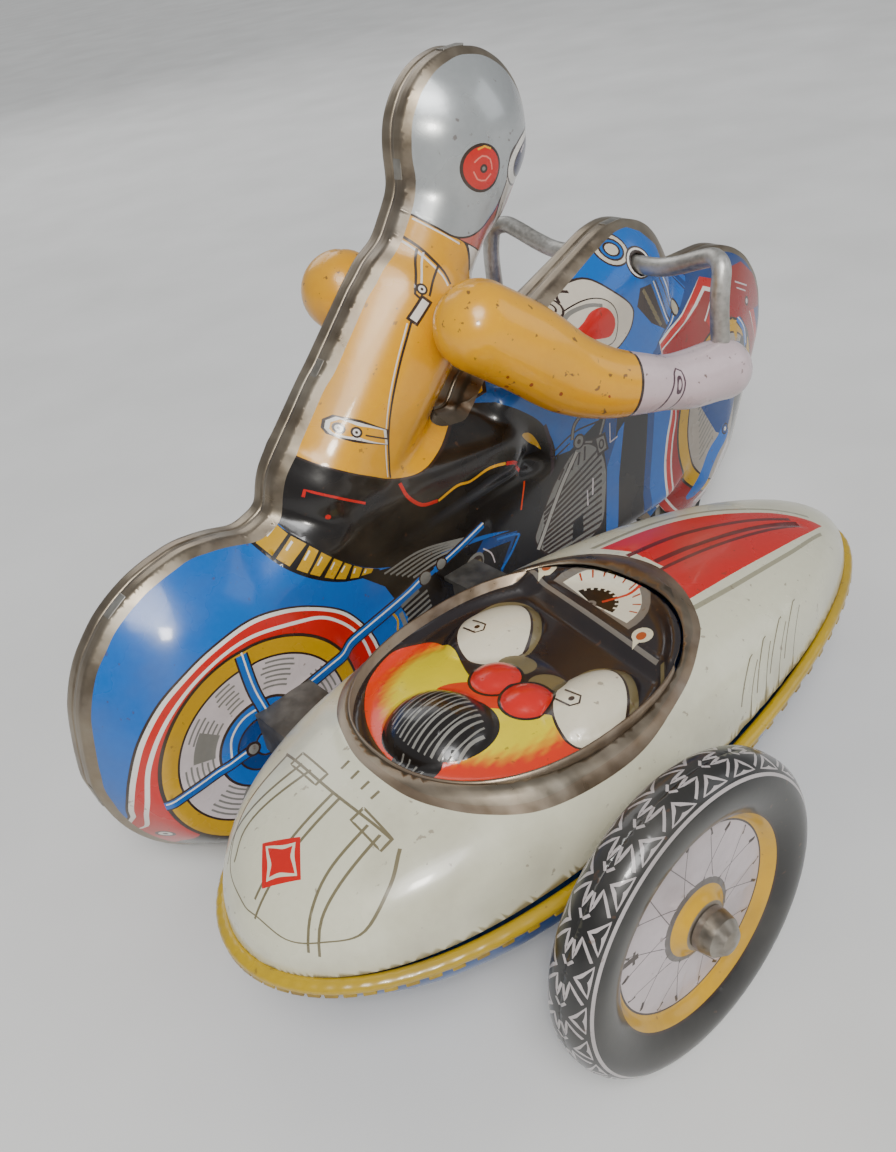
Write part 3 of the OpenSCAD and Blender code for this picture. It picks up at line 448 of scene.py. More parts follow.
# %% Outline finder
def contour(field, level):
    up = field < level
    links, spots = {}, {}
    def spot(j, i, dj, di):
        a, b = field[j, i], field[j + dj, i + di]
        t = (level - a) / (b - a)
        spots[(j, i, dj)] = (X0 + (i + di * t) * CELL, Z0 + (j + dj * t) * CELL)
        return (j, i, dj)
    cells = up[:-1, :-1].astype(int) + up[1:, :-1] + up[:-1, 1:] + up[1:, 1:]
    for j, i in zip(*np.nonzero((cells > 0) & (cells < 4))):
        ends = []
        if up[j, i] != up[j, i + 1]:
            ends.append(spot(j, i, 0, 1))
        if up[j + 1, i] != up[j + 1, i + 1]:
            ends.append(spot(j + 1, i, 0, 1))
        if up[j, i] != up[j + 1, i]:
            ends.append(spot(j, i, 1, 0))
        if up[j, i + 1] != up[j + 1, i + 1]:
            ends.append(spot(j, i + 1, 1, 0))
        for p, q in zip(ends[::2], ends[1::2]):
            links.setdefault(p, []).append(q)
            links.setdefault(q, []).append(p)
    best, seen = [], set()
    for start in links:
        if start in seen:
            continue
        loop, here, last = [], start, None
        while here not in seen:
            seen.add(here)
            loop.append(spots[here])
            here = next((n for n in links[here] if n != last and n not in seen), here)
            last = here
        best = max(best, loop, key=len)
    p = np.array(best)
    for _ in range(3):
        p = (np.roll(p, 1, 0) + 2 * p + np.roll(p, -1, 0)) / 4
    return [tuple(q) for q in p[::2]]

outline, print_edge = contour(edge_mm, 0.0), contour(edge_mm, -1.3)
print("outline points:", len(outline), len(print_edge))

# %% [markdown]
# ## Embossing
# Shallow steps are added to the form: the hub and rim of the rear wheel, the hem of the jacket,
# the goggle, the ear, the tank's cap, the printed rods, a line across the trousers and the jacket's seam.

# %% Embossed lines and discs
gx, gz = np.meshgrid(X0 + np.arange(NX) * CELL, Z0 + np.arange(NZ) * CELL)

def raise_line(pts, up, width):
    line = np.array(curve(pts, step=0.7))
    lo, hi = line.min(0) - 4 * width, line.max(0) + 4 * width
    i0, i1 = int((lo[0] - X0) / CELL), int((hi[0] - X0) / CELL)
    j0, j1 = max(0, int((lo[1] - Z0) / CELL)), int((hi[1] - Z0) / CELL)
    sub = (slice(j0, j1), slice(i0, i1))
    d2 = ((gx[sub][..., None] - line[:, 0]) ** 2 + (gz[sub][..., None] - line[:, 1]) ** 2).min(-1)
    form_mm[sub] += up * np.exp(-d2 / (2 * width * width))

def raise_disc(x, z, r, up, soft_mm=0.5):
    d = np.hypot(gx - x, gz - z)
    form_mm[:] += up / (1 + np.exp(np.clip((d - r) / (soft_mm * 0.5), -40, 40)))

HEM = [(-43.5, 72.4), (-41.7, 70.7), (-39.6, 68.8), (-36.2, 66.5), (-31.3, 63.4), (-27.1, 60.8),
       (-22.9, 59.4), (-19.3, 59.3), (-14.9, 60.3), (-9.9, 61.7), (-2.8, 63.6)]
raise_disc(-65.3, 27, 19.2, -0.25, 1.0)
raise_disc(-65.8, 26.6, 8.8, 0.5, 1.0)
raise_disc(-65.8, 26.6, 3.6, 0.4, 0.8)
raise_line(HEM, 0.22, 0.8)
raise_disc(4.7, 106.3, 3.7, 0.35, 0.7)
raise_disc(17.5, 104.8, 3.4, 0.4, 0.9)
raise_disc(39.2, 80.8, 2.9, 0.25, 0.6)
raise_line([(-60.3, 31.1), (-46.1, 33.6), (-30.9, 36.4), (-8.7, 41.7)], 0.35, 0.9)
raise_line([(-64.5, 45), (-64, 30.5)], 0.3, 0.8)
raise_line([(-69.1, 26.7), (-78.6, 26.1), (-85.9, 25.8)], 0.3, 0.8)
raise_line([(-25.5, 57.5), (-22.2, 53.3), (-14.1, 53.7), (-6.9, 53.6), (4, 47.5)], 0.25, 0.9)
raise_line([(-15.6, 85.9), (-20.1, 79.8), (-23.7, 73.8), (-27.1, 60.8)], -0.15, 0.6)

def shell_place(xy):
    u = np.clip((xy[:, 0] - X0) / CELL, 0, NX - 1.001)
    v = np.clip((xy[:, 1] - Z0) / CELL, 0, NZ - 1.001)
    i, j = u.astype(int), v.astype(int)
    a, b = u - i, v - j
    h = ((form_mm[j, i] * (1 - a) + form_mm[j, i + 1] * a) * (1 - b)
         + (form_mm[j + 1, i] * (1 - a) + form_mm[j + 1, i + 1] * a) * b)
    return np.stack([xy[:, 0], -np.maximum(h, SKIRT - 0.3), xy[:, 1]], 1)

# %% [markdown]
# ## The print on the shell, rear wheel first
# `art` fills a list of (ink, shape) pairs. Later shapes print over earlier ones.

# %% Rear mudguard and wheel
art = []
put = printer(art)

def rings(x, z, *steps):
    """Ovals of ink one over another at a place, each an ink and its radii."""
    for colour, *size in steps:
        put(colour, oval(x, z, *size))

BAND_OUT = [(-90.6, 22), (-90.5, 25), (-88.9, 31.4), (-85.7, 38.2), (-80.5, 43.8), (-73.9, 47.4),
            (-67.6, 49.2), (-61.3, 49.7), (-55.2, 48.3), (-49.5, 45.6), (-43.9, 41.6), (-40.7, 37.4),
            (-38.3, 32), (-37.4, 26)]
BAND_LOW = [(-38, 17), (-41.5, 9), (-50, 3), (-62, -2), (-78, -2), (-90, 4), (-97, 12), (-97, 19.6),
            (-91.4, 19.4)]
wheel = (-65.3, 27)
band = curve(BAND_OUT) + path(BAND_LOW)
put(LINE, toward(band, wheel, -0.35))
put(WHITE, band)
put(RED, toward(band, wheel, 0.65))
inner = (curve([(-90.8, 17.2), (-89.3, 19), (-88.8, 24.4), (-86.3, 34), (-80.8, 41.4), (-72.5, 46.2),
                (-62.2, 47.7), (-50, 43.9),
                (-44.2, 39.5), (-40.6, 33.4), (-39.3, 26)])
         + path([(-39.6, 17), (-44, 8), (-62, -1), (-80, -1), (-92, 5), (-97, 13), (-97, 17.4)]))
put(WHITE, inner)
put(RED, toward(inner, wheel, 0.6))
put(BLACK, poly([(-84.6, 12.5), (-86, 7), (-82, -2), (-48, -2), (-42.5, 8), (-42, 20), (-60, 30), (-80, 20)]))
rings(-65.3, 27, (LINE, 20.9, 19.4), (OCHRE, 20.3, 18.8), (LINE, 17.5, 15.8), (LILAC, 17.1, 15.4))
for a0, a1 in ((52, 80), (100, 118), (128, 152), (166, 190), (208, 250), (262, 300), (318, 345), (4, 34)):
    for n, r in enumerate(np.arange(9.9, 15.0, 0.95)):
        arc = [(-65.3 + r * 1.09 * math.cos(math.radians(a)), 27 + r * math.sin(math.radians(a)))
               for a in np.linspace(a0 + (n % 2) * 2, a1 - (n % 3) * 2, 7)]
        put(GREY, stroke(arc, 0.38))
for a0, a1 in ((140, 166), (232, 262)):
    arc = [(-65.3 + 12.4 * math.cos(math.radians(a)), 27 + 11.4 * math.sin(math.radians(a)))
           for a in np.linspace(a0, a1, 8)]
    put(GREY, stroke(arc, 4.2))
rings(-65.8, 26.6, (LINE, 9.3, 8.9), (BLUE, 8.8, 8.4))
put(WHITE, stroke([(-72.8, 27.5), (-71.6, 31.3), (-68.6, 33.6), (-64.6, 34)], 0.4))
rings(-65.8, 26.6, (LINE, 5.9, 5.6), (DEEP_BLUE, 5.5, 5.2))
rings(-65.6, 26.6, (LINE, 2.7), (BLUE, 2.3))

def tube(pts, width, colour=BLUE, shine=True):
    """A printed rod: dark outline, colour, and a thin white gleam along its upper side."""
    put(LINE, stroke(pts, width + 0.7))
    put(colour, stroke(pts, width))
    if shine:
        put(WHITE, stroke([(x + 0.1 * width, z + 0.24 * width) for x, z in pts], 0.32))

tube([(-65.2, 45.4), (-65, 38), (-64, 30.5)], 1.9)
tube([(-69.1, 26.9), (-78.6, 25.9), (-86.2, 25.6)], 1.7)
rings(-68.6, 27, (LINE, 1.5), (GREY, 1.0))
rings(-86.8, 16.4, (LINE, 1.25), (WHITE, 0.85), (LINE, 0.35))

# %% Saddle fringe, trousers and jacket
SADDLE_UP = [(-49.6, 62.5), (-48.1, 60.7), (-47.5, 58.7), (-45.9, 56.7), (-42.2, 52.2), (-37.7, 47.8),
             (-34.1, 45.4)]
SADDLE_LOW = [(-55.5, 61), (-53.6, 59.1), (-52, 55.7), (-49.4, 52.7), (-43.3, 47.9), (-38.1, 45.6),
              (-34.2, 45)]
up_line, low_line = np.array(curve(SADDLE_UP, step=0.5)), np.array(curve(SADDLE_LOW, step=0.5))
put(BLACK, toward(curve(SADDLE_UP) + curve(SADDLE_LOW)[::-1], (-44, 54), -0.45))
pick = lambda line, t: line[min(len(line) - 1, int(t * (len(line) - 1)))]
for k in range(9):
    t0, t1 = 0.03 + k * 0.106, 0.03 + k * 0.106 + 0.082
    a, b, c, d = pick(up_line, t0), pick(up_line, t1), pick(low_line, t1), pick(low_line, t0)
    quad = [tuple(a * 0.94 + d * 0.06), tuple(b * 0.94 + c * 0.06), tuple(c * 0.94 + b * 0.06),
            tuple(d * 0.94 + a * 0.06)]
    put(OCHRE, poly(quad))
    put(WHITE, stroke([tuple(a * 0.8 + d * 0.2 + (b - a) * 0.22),
                       tuple(a * 0.45 + d * 0.55 + (b - a) * 0.22)], 0.3, False))

trousers = (curve(SADDLE_UP) + curve([(-34, 45.4), (-28, 42.8), (-20, 41), (-11, 40), (-2, 37), (4.6, 33.7)])
            + curve([(9.2, 38.6), (12.4, 44.1), (12.5, 50.5), (9.7, 56.2), (4.9, 60.8), (1, 63.6)])
            + curve(HEM)[::-1] + [(-50, 70)])
put(BLACK, trousers)
jacket = (curve(HEM) + curve([(0.5, 65.5), (3.5, 70.5), (6.2, 77), (8.5, 81.5)])
          + path([(12, 86), (4.1, 91.8), (-8.3, 102.6), (-20, 104), (-52, 78)]))
put(LINE, toward(jacket, (-20, 78), -0.4))
put(YELLOW, jacket)
PURPLE = ink(52, 34, 44)
put(PURPLE, curve([(10.5, 55), (11.3, 50), (11.2, 45.4), (9, 41), (9.6, 40.4), (12.0, 45), (12.2, 50.4),
                   (11.2, 55.2)], True))
put(RED, stroke([(-43, 63.5), (-42.4, 64.6), (-38.7, 62.4), (-33.6, 59)], 0.45, False),
    oval(-40.6, 59.1, 0.45))
put(RED, stroke([(-25.6, 59.2), (-25.2, 56.6), (-22.6, 53.6), (-19, 52.7)], 0.7),
    stroke([(-1.6, 52.6), (0.8, 51.6), (2.4, 49.6), (3.4, 48)], 0.8))
put(YELLOW, stroke([(-18.8, 52.6), (-14.1, 53.6), (-10.8, 53), (-6.9, 53.6), (-4.4, 53.4), (-1.8, 52.7)],
                   0.55))
put(ORANGE, stroke([(3.7, 45.7), (2.7, 42.9), (1.7, 40)], 0.4))
put(OCHRE, curve([(4.2, 55.8), (6.2, 55.4), (7.8, 53.6), (9.3, 50.2), (7.8, 51.8), (6, 53.4)], True))

# Seam, tab, pocket and collar of the jacket
put(LINE, stroke([(-15.6, 85.9), (-20.1, 79.8), (-23.7, 73.8), (-25.9, 68), (-27.1, 60.9)], 0.42))
put(WHITE, stroke([(-16.3, 85.9), (-20.8, 79.8), (-24.4, 73.8), (-26.6, 68), (-27.7, 61.4)], 0.26))
put(LINE, stroke([(-15.6, 85.8), (-11.6, 88.8)], 2.2, False))
put(WHITE, stroke([(-15.2, 86.1), (-12, 88.5)], 1.3, False))
POCKET = [(-25.8, 70), (-30, 73), (-33, 74.7), (-34.6, 74.4), (-35.4, 73.3), (-35.2, 72.3), (-33.3, 71),
          (-26.2, 67.2)]
pocket = poly(POCKET)
put(LINE, toward(pocket, (-31, 71.5), -0.3))
put(WHITE, toward(pocket, (-31, 71.5), 0.15))
put(YELLOW, toward(pocket, (-31, 71.5), 0.75))
for x, z in ((-33.4, 72.8), (-31.2, 71.5)):
    rings(x, z, (LINE, 0.95), (WHITE, 0.6), (LINE, 0.25))
put(LINE, stroke([(-30, 70.6), (-26, 68.3)], 0.3, False))
collar = curve([(-8.6, 103.2), (-6.6, 100.7), (-4.6, 98.6), (-2.3, 96.6), (-0.3, 94.9), (0.4, 92.3),
                (0.7, 89.3)])
put(WHITE, poly([(-0.2, 94.9), (4.1, 91.8), (8, 88), (5, 84), (0.9, 88.2)]))
put(LINE, stroke([(-0.2, 94.9), (4.1, 91.8)], 0.5, False), ribbon(collar, 0.6))
put(LINE, stroke([(-10.8, 100), (-10.1, 98.6), (-8.7, 96.5), (-7.4, 94), (-6.2, 91.5), (-6, 89.4)], 0.5))
put(WHITE, stroke([(-11.1, 99), (-10.6, 98.1), (-9.3, 96.1), (-8, 93.6), (-6.9, 91.2), (-6.7, 89.4)], 0.4))
put(WHITE, stroke([(-7.6, 100.8), (-5.6, 98.7), (-3.4, 96.6), (-1.6, 95)], 0.3))
put(LINE, stroke([(-8.9, 96.2), (-11, 93.3), (-13.2, 90), (-12.8, 89.2)], 0.42))
put(LINE, stroke([(-6.9, 92.7), (-9.4, 90.9), (-11.1, 89)], 0.42))
put(WHITE, stroke([(-8.3, 95.4), (-10.4, 92.6), (-12.2, 90.2)], 0.32))
rings(-11.8, 90.4, (LINE, 0.95), (WHITE, 0.6), (LINE, 0.25))

# %% Head: silver helmet, ear pad, goggle and chin strap
helmet = (path([(-8.3, 102.6), (-16, 106), (-16, 130), (32, 130), (32, 109)])
          + curve([(20, 109.5), (15.4, 108.4), (12.2, 107.3), (11, 105), (10.6, 102)])
          + curve([(8.8, 99.9), (7.4, 97.8), (4.5, 96.2), (1, 95.7), (-2.3, 96.6), (-4.6, 98.6),
                   (-6.6, 100.7)]))
face = poly([(-1.4, 95.8), (1, 95.7), (4.5, 96.2), (7.4, 97.8), (8.8, 99.9), (10.6, 102), (11, 105),
             (16, 108.4),
             (30, 109), (30, 90), (14, 88), (4.1, 91.8), (-0.2, 94.9)])
put(SKIN, face)
put(LINE, toward(helmet, (6, 110), -0.35))
put(SILVER, helmet)
put(ink(214, 206, 196), poly([(10.9, 103), (9, 99.2), (8.9, 95.2), (11, 94.4), (12.2, 98.6), (14.4, 100.2)]))
put(LINE, stroke([(10.8, 102.5), (8.9, 99.2), (8.9, 95)], 0.4),
    stroke([(14.6, 99.8), (12.2, 98.6), (11.4, 94.4)], 0.4))
put(LINE, stroke([(10.3, 98.6), (10.2, 95)], 0.25, False))
rings(17.6, 104.6, (LINE, 6.9, 4.5, 10), (WHITE, 6.5, 4.1, 10))
rings(18.2, 104.6, (LINE, 5.2, 3.2, 10), (NAVY, 4.8, 2.9, 10))
put(LILAC, stroke([(15.4, 106), (16.8, 106.9)], 0.5, False))
put(ink(140, 24, 20), stroke([(16.2, 95.4), (18, 94.9), (20.4, 95.2)], 0.9))
rings(4.7, 106.3, (LINE, 3.95, 4.1, 30), (RED, 3.45, 3.6, 30))
put(YELLOW, stroke([(4.2, 109.5), (5.6, 109.7), (6.8, 109)], 0.35))
put(ink(226, 120, 104), stroke([(3.2, 107.6), (4.8, 108.3), (6.3, 107.4), (6.5, 105.6)], 0.28),
    stroke([(6.2, 105), (4.9, 104.2), (3.3, 104.8), (2.8, 106.2)], 0.28))
rings(4.8, 106.2, (LINE, 0.75), (GREY, 0.35))

# %% [markdown]
# ## Engine, tank and front fork
# The middle of the toy is a dark engine drawn in grey line work, under a blue tank with a pale
# panel. The front mudguard repeats the rear one in a smaller form.

# %% Engine
art_engine_ground = poly([(-38.5, 46), (-34.1, 44.9), (-20, 41), (-2, 37), (6, 40), (12.5, 45), (14, 52),
                          (27, 52), (42, 46),
                          (40, 33), (37, 20), (34, 12), (-30, 12), (-33, 22), (-30, 32), (-33.5, 41)])
put(BLACK, art_engine_ground)
put(DEEP_BLUE, poly([(-9, 38.5), (0, 36), (-6, 28), (-15, 22), (-24, 22), (-19, 30)]))
put(BLACK, poly([(-9.4, 36), (-2, 34.6), (-6, 29.4), (-14, 25), (-20, 25.5), (-16.5, 31)]))
put(BLUE, stroke([(-5.6, 36.8), (-1, 35.6), (0.4, 34.9)], 0.5),
    stroke([(0.4, 34.9), (-2.6, 31.8), (-5.6, 29.6)], 0.6),
    stroke([(-14.7, 34.4), (-17.5, 31), (-19.4, 28.4)], 0.6))
put(GREY, *bars([(-33, 43.6), (-24, 43.9), (-13.6, 41.3)], [(-27, 39.4), (-20, 39.9), (-13.2, 39.4)], 6,
                0.45))
put(GREY, *bars([(-30.5, 33.8), (-24.4, 35)], [(-29.8, 26.4), (-23.8, 27.8)], 7, 0.55))
put(GREY, *bars([(-31.5, 24.5), (-15, 24.2)], [(-31, 15), (-14, 15)], 8, 0.5))
put(OCHRE, stroke([(-33.4, 35.2), (-32.4, 32.6), (-32.9, 30.2), (-31.6, 29)], 0.5))
put(GREY, stroke([(-31.4, 33.8), (-30.6, 28.4)], 1.0, False), oval(-12.4, 33.9, 3.2, 2.3, 40))
put(LINE, oval(-12.2, 33.7, 2.6, 1.8, 40))
put(OLIVE, poly([(-13.6, 35), (-10.4, 34.8), (-10.2, 32.4), (-12.4, 32.8)]))
put(LILAC, stroke([(-9.4, 36.6), (-7.6, 34.6), (-7, 32)], 0.3))
tube([(-60.3, 31.1), (-46.1, 33.6), (-30.9, 36.4), (-25.4, 37.9)], 2.1)
tube([(-22, 38.4), (-16, 39.8), (-8.7, 41.9)], 1.4)
put(GREY, stroke([(-31, 35), (-26.4, 36.2)], 1.0, False))
for x, z, r in ((-24.4, 37.9, 1.35), (-20.2, 38.9, 1.1)):
    rings(x, z, (LINE, r + 0.3), (GREY, r))
put(BLUE, poly([(-23.2, 38.6), (-21.6, 39), (-21.4, 38.1), (-23, 37.7)]))
rings(-61, 31, (LINE, 1.5), (GREY, 1.0), (LINE, 0.4))

# %% Cylinder, cables and push rod
cylinder = curve([(17.6, 45.6), (12.6, 42), (9.2, 38.4), (5.6, 33.6), (4.6, 31), (7.4, 26.6), (15.2, 23.5),
                  (23.3, 25.2), (25.6, 31), (26.5, 37.6), (25.4, 42.4), (21.8, 45.8)], True)
put(LINE, toward(cylinder, (16, 35), -0.35))
put(GREY, cylinder)
put(LINE, *bars([(7.8, 36.8), (26, 43.6)], [(5.6, 25.2), (23.8, 24.6)], 13, 0.62))
put(LINE, *bars([(12.8, 41.6), (14.6, 43.4)], [(20.6, 42.6), (21.2, 45.6)], 5, 0.55))
put(LILAC, stroke([(22.6, 37.4), (22, 33.6)], 0.45, False), stroke([(20.6, 35.4), (20.3, 31.8)], 0.35, False))
put(BLACK, poly([(15.4, 29.6), (18.6, 30.8), (18.2, 26.2), (14.6, 25.6)]))
put(LINE, stroke([(18.7, 45.4), (12.8, 39.2), (4.8, 28.8)], 1.5))
put(ink(164, 160, 152), stroke([(18.7, 45.4), (12.8, 39.2), (4.8, 28.8)], 0.95))
sky = poly([(13.6, 52.4), (12.6, 47.2), (16.8, 46.6), (28.6, 50.6), (33.4, 60), (30, 66), (4, 66),
            (9.7, 57.4)])
put(BLUE, sky)
put(DEEP_BLUE, poly([(26.2, 48), (30.2, 50), (31.4, 48), (28.6, 36), (26.9, 37.8)]))
put(BLUE, poly([(27, 37.8), (31.3, 44.6), (33.4, 46), (30.4, 34), (28.8, 22), (25, 22.6)]))
put(LINE, stroke([(11.9, 48.2), (18.6, 50), (26.1, 49.4)], 0.4),
    stroke([(11.8, 46.8), (17, 48.2)], 0.4, False))
for lane in ([(17.7, 48.6), (18.9, 51.6), (22.6, 53.4), (27, 54.2)],
             [(27.6, 54.6), (27.6, 49.8), (25.8, 46.2)]):
    put(LINE, stroke(lane, 1.1))
    put(GREY, stroke(lane, 0.55))
rings(19.6, 47.4, (LINE, 1.75), (GREY, 1.3), (LINE, 0.55))
put(LINE, stroke([(21.2, 46.6), (23.8, 45.6)], 1.0, False))
put(GREY, stroke([(21.4, 46.5), (23.4, 45.7)], 0.4, False))
put(LINE, poly([(24, 46.4), (27.4, 46.2), (28, 42), (24.6, 41.6)]))
put(GREY, poly([(24.6, 45.8), (26.9, 45.6), (27.4, 42.5), (25.1, 42.3)]))
rings(26, 44, (LINE, 0.9, 1.2), (GREY, 0.4, 0.7))
put(LILAC, stroke([(29, 47.6), (28.6, 43.2)], 0.3, False), stroke([(28.6, 43.2), (31, 43.6)], 0.3, False))

# %% Tank and its panel
tank = (poly([(9.7, 57.4), (6, 62), (4.9, 67), (8, 76), (12, 83), (24, 95), (54, 95), (64, 84), (64, 63),
              (60.1, 55.4),
              (46.6, 57.2), (33, 60), (30, 53)]))
put(BLUE, tank)
put(BARE, poly([(8, 78), (23.1, 75.6), (27.8, 77.5), (31, 79.2), (35.9, 81.8), (40.2, 83.6), (44.8, 83.5),
                (48.7, 81.3),
                (51.4, 77.8), (50.6, 75.4), (60, 72), (60, 96), (10, 96)]))
put(LINE, oval(39.2, 80.6, 3.5, 3.1))
put(ink(206, 196, 178), oval(39.2, 80.6, 3.15, 2.75))
rings(39.2, 80.6, (LINE, 2.4, 2.05), (BLUE, 2.05, 1.7), (LINE, 1.6, 1.3))
put(ink(206, 196, 178), oval(39.2, 80.6, 1.25, 1.0))
rings(43.5, 76.9, (LINE, 3.3, 3.1), (WHITE, 2.95, 2.75), (LINE, 2.5, 2.4))
panel = curve([(10, 66), (15, 74), (20, 76.8), (24, 76.6), (27.5, 77.4), (31.1, 77.1), (34.6, 73.8),
               (38.2, 70), (38.7, 67.6),
               (36.8, 64.6), (32, 62.6), (26, 64.4), (18, 63), (12, 60)], True)
put(LINE, toward(panel, (26, 69.5), -0.4))
put(ink(206, 198, 182), panel)
pill = curve([(19, 71.6), (21.3, 73.2), (27.6, 74.2), (31.7, 73.3), (33.8, 70.7), (33.9, 67.2),
              (31.9, 64.3), (26, 65.6), (20, 68)], True)
put(LINE, toward(pill, (27, 69.4), -0.25))
put(ink(206, 198, 182), pill)
put(GREY, stroke([(20.4, 71.6), (23.5, 73.1), (28, 73.3), (31, 72.4)], 0.7))
put(RED, curve([(22.5, 69.6), (25.4, 71), (28, 72.2), (31.2, 72), (33, 70), (33.4, 67.8), (31.8, 65.9),
                (28.6, 66.4), (25, 67.6)], True))
put(LINE, oval(21, 74.6, 2.3, 1.9))
put(ink(196, 186, 168), oval(21, 74.6, 1.9, 1.5))
put(LINE, oval(21, 74.6, 1.1, 0.9))
put(ink(196, 186, 168), oval(21, 74.6, 0.75, 0.6))
put(LINE, stroke([(23.2, 75), (24.2, 76.6), (26.2, 76.2)], 0.5))

# %% Springs, levers and the steering head
put(LINE, poly([(41.6, 72.4), (45, 72.2), (49.6, 60.4), (44.2, 64), (40.2, 69)]))
put(OLIVE, *bars([(42.4, 71.8), (43.6, 69.6)], [(45.6, 65), (47.4, 62.4)], 6, 0.75))
tube([(45.6, 72.2), (48, 66), (50.8, 60.6)], 1.3)
tube([(48.6, 73), (51.6, 66.6), (55.6, 60.2)], 1.5)
tube([(53.2, 63.8), (50.8, 61), (46.8, 58.4), (44.4, 54.6)], 1.5)
put(LINE, oval(53.3, 64, 1.5, 2))
put(ink(180, 172, 150), oval(53.3, 64, 1.0, 1.5))
for k in range(2):
    put(LINE, stroke([(57 + 3.4 * k, 73), (60 + 3.4 * k, 64), (64 + 3.4 * k, 57)], 0.35))
    put(DEEP_BLUE, stroke([(58.2 + 3.4 * k, 73), (61.2 + 3.4 * k, 64), (65.2 + 3.4 * k, 57)], 1.2))

# %% Front mudguard and wheel
front = (62, 25)
put(BLACK, poly([(40.9, 44), (35.3, 46.9), (31.5, 35.2), (29.4, 22), (30, 12), (36, 10), (38.5, 23),
                 (41.2, 33)]))
guard = curve([(46.6, 58.4), (48.6, 50), (48.9, 42.2), (46.9, 35.7), (45.7, 28.7), (46.5, 21), (50.8, 13.4),
               (56, 8), (62, 3)])
put(DEEP_BLUE, poly([(44, 57.6), (41.4, 48), (39.8, 38), (37.6, 26), (38, 12), (44, 5), (70, 0), (90, 20),
                     (96, 60), (80, 80), (60, 66)]))
put(BLUE, poly([(52, 56.8), (46.6, 56), (43.6, 48), (42, 38), (39.9, 27), (41, 17), (47, 9), (58, 4),
                (70, 20), (70, 50)]))
put(WHITE, toward(guard, front, -0.7) + path([(80, 4), (92, 40), (84, 58), (66, 66)]))
put(RED, toward(guard, front, 0.05) + path([(80, 4), (92, 40), (84, 58), (66, 66)]))
put(WHITE, toward(guard, front, 1.5) + path([(80, 6), (90, 40), (82, 56), (66, 64)]))
put(ink(152, 18, 14), toward(guard, front, 2.0) + path([(80, 8), (90, 40), (82, 55), (66, 63)]))
rings(67.6, 34.6, (LINE, 17.6, 20.6, -14), (OCHRE, 17, 20, -14))
put(LINE, oval(68, 34.6, 14.4, 17.4, -14))
put(ink(160, 150, 138), oval(68, 34.6, 14, 17, -14))
put(GREY, *bars([(58, 44), (63.6, 50)], [(57, 26), (62, 30)], 14, 0.4))
put(DEEP_BLUE, poly([(58.6, 38.8), (64.5, 47), (74.9, 48.1), (79, 46), (71.4, 33.6), (66.4, 28.4),
                     (63.1, 30.6)]))
put(BLACK, poly([(77, 48), (82.6, 47.6), (79, 34), (73, 20), (66, 9), (62, 8), (66.8, 20), (70.5, 30)]))
put(BLUE, curve([(66.4, 31.4), (63.7, 29.3), (60.2, 26.9), (57.4, 22.6), (55, 16), (57.2, 15.2), (60.4, 21),
                 (63.6, 24.8), (68, 28.4)], True))
put(LILAC, poly([(68.3, 26.9), (64.6, 23.6), (61.3, 19), (58.6, 12.6), (60.2, 12), (63.4, 18.4),
                 (69.4, 24.4)]))
rings(66.6, 29.9, (LINE, 1.4), (DEEP_BLUE, 1.05), (WHITE, 0.5))
tube([(76.4, 53), (79.6, 48.8), (80.6, 44.6)], 1.6)
put(OCHRE, stroke([(73.9, 53.6), (74.8, 48.6)], 1.2, False))
put(ink(150, 18, 16), poly([(75.2, 64), (84.4, 63), (92, 56), (91, 50), (85, 51.4), (78.6, 52.6),
                            (75.4, 53.4)]))
rings(83, 54.4, (LINE, 1.1), (LILAC, 0.6))
put(LILAC, stroke([(79.4, 60.2), (84.6, 57.4)], 0.35, False),
    stroke([(79.4, 58.8), (83.4, 56.6)], 0.3, False))
put(WHITE, stroke([(63, 57.4), (67.4, 60.4)], 0.5, False))
put(RED, poly([(69.4, 59.6), (63.5, 57.2), (65.6, 53.6), (70, 56)]))
print("ink shapes on the shell:", len(art))

# %% Press both halves
def seam_band(obj):
    """Turns the cut edge over to the middle plane, as the drawn skirt of bare tin."""
    bm = bmesh.new()
    bm.from_mesh(obj.data)
    layer = bm.loops.layers.float_color["ink"]
    rim = [e for e in bm.edges if e.is_boundary]
    for y, out in ((-1.9, 0.10), (-1.0, 0.13), (-0.03, 0.10)):
        made = bmesh.ops.extrude_edge_only(bm, edges=rim)["geom"]
        verts = [g for g in made if isinstance(g, bmesh.types.BMVert)]
        new = set(verts)
        rim = [g for g in made if isinstance(g, bmesh.types.BMEdge) and new.issuperset(g.verts)]
        for v in verts:
            v.co.y = y * 0.001
        for f in (g for g in made if isinstance(g, bmesh.types.BMFace)):
            f.smooth = True
            for l in f.loops:
                l[layer] = BARE
    bmesh.ops.recalc_face_normals(bm, faces=bm.faces)
    bm.to_mesh(obj.data)
    bm.free()

def faced(obj):
    """Turns every face of a closed piece outward."""
    bm = bmesh.new()
    bm.from_mesh(obj.data)
    bmesh.ops.recalc_face_normals(bm, faces=bm.faces)
    bm.to_mesh(obj.data)
    bm.free()

def mirrored(obj, name):
    mesh = obj.data.copy()
    mesh.transform(Matrix.Scale(-1, 4, (0, 1, 0)))
    mesh.flip_normals()
    twin = bpy.data.objects.new(name, mesh)
    bpy.context.scene.collection.objects.link(twin)
    return twin

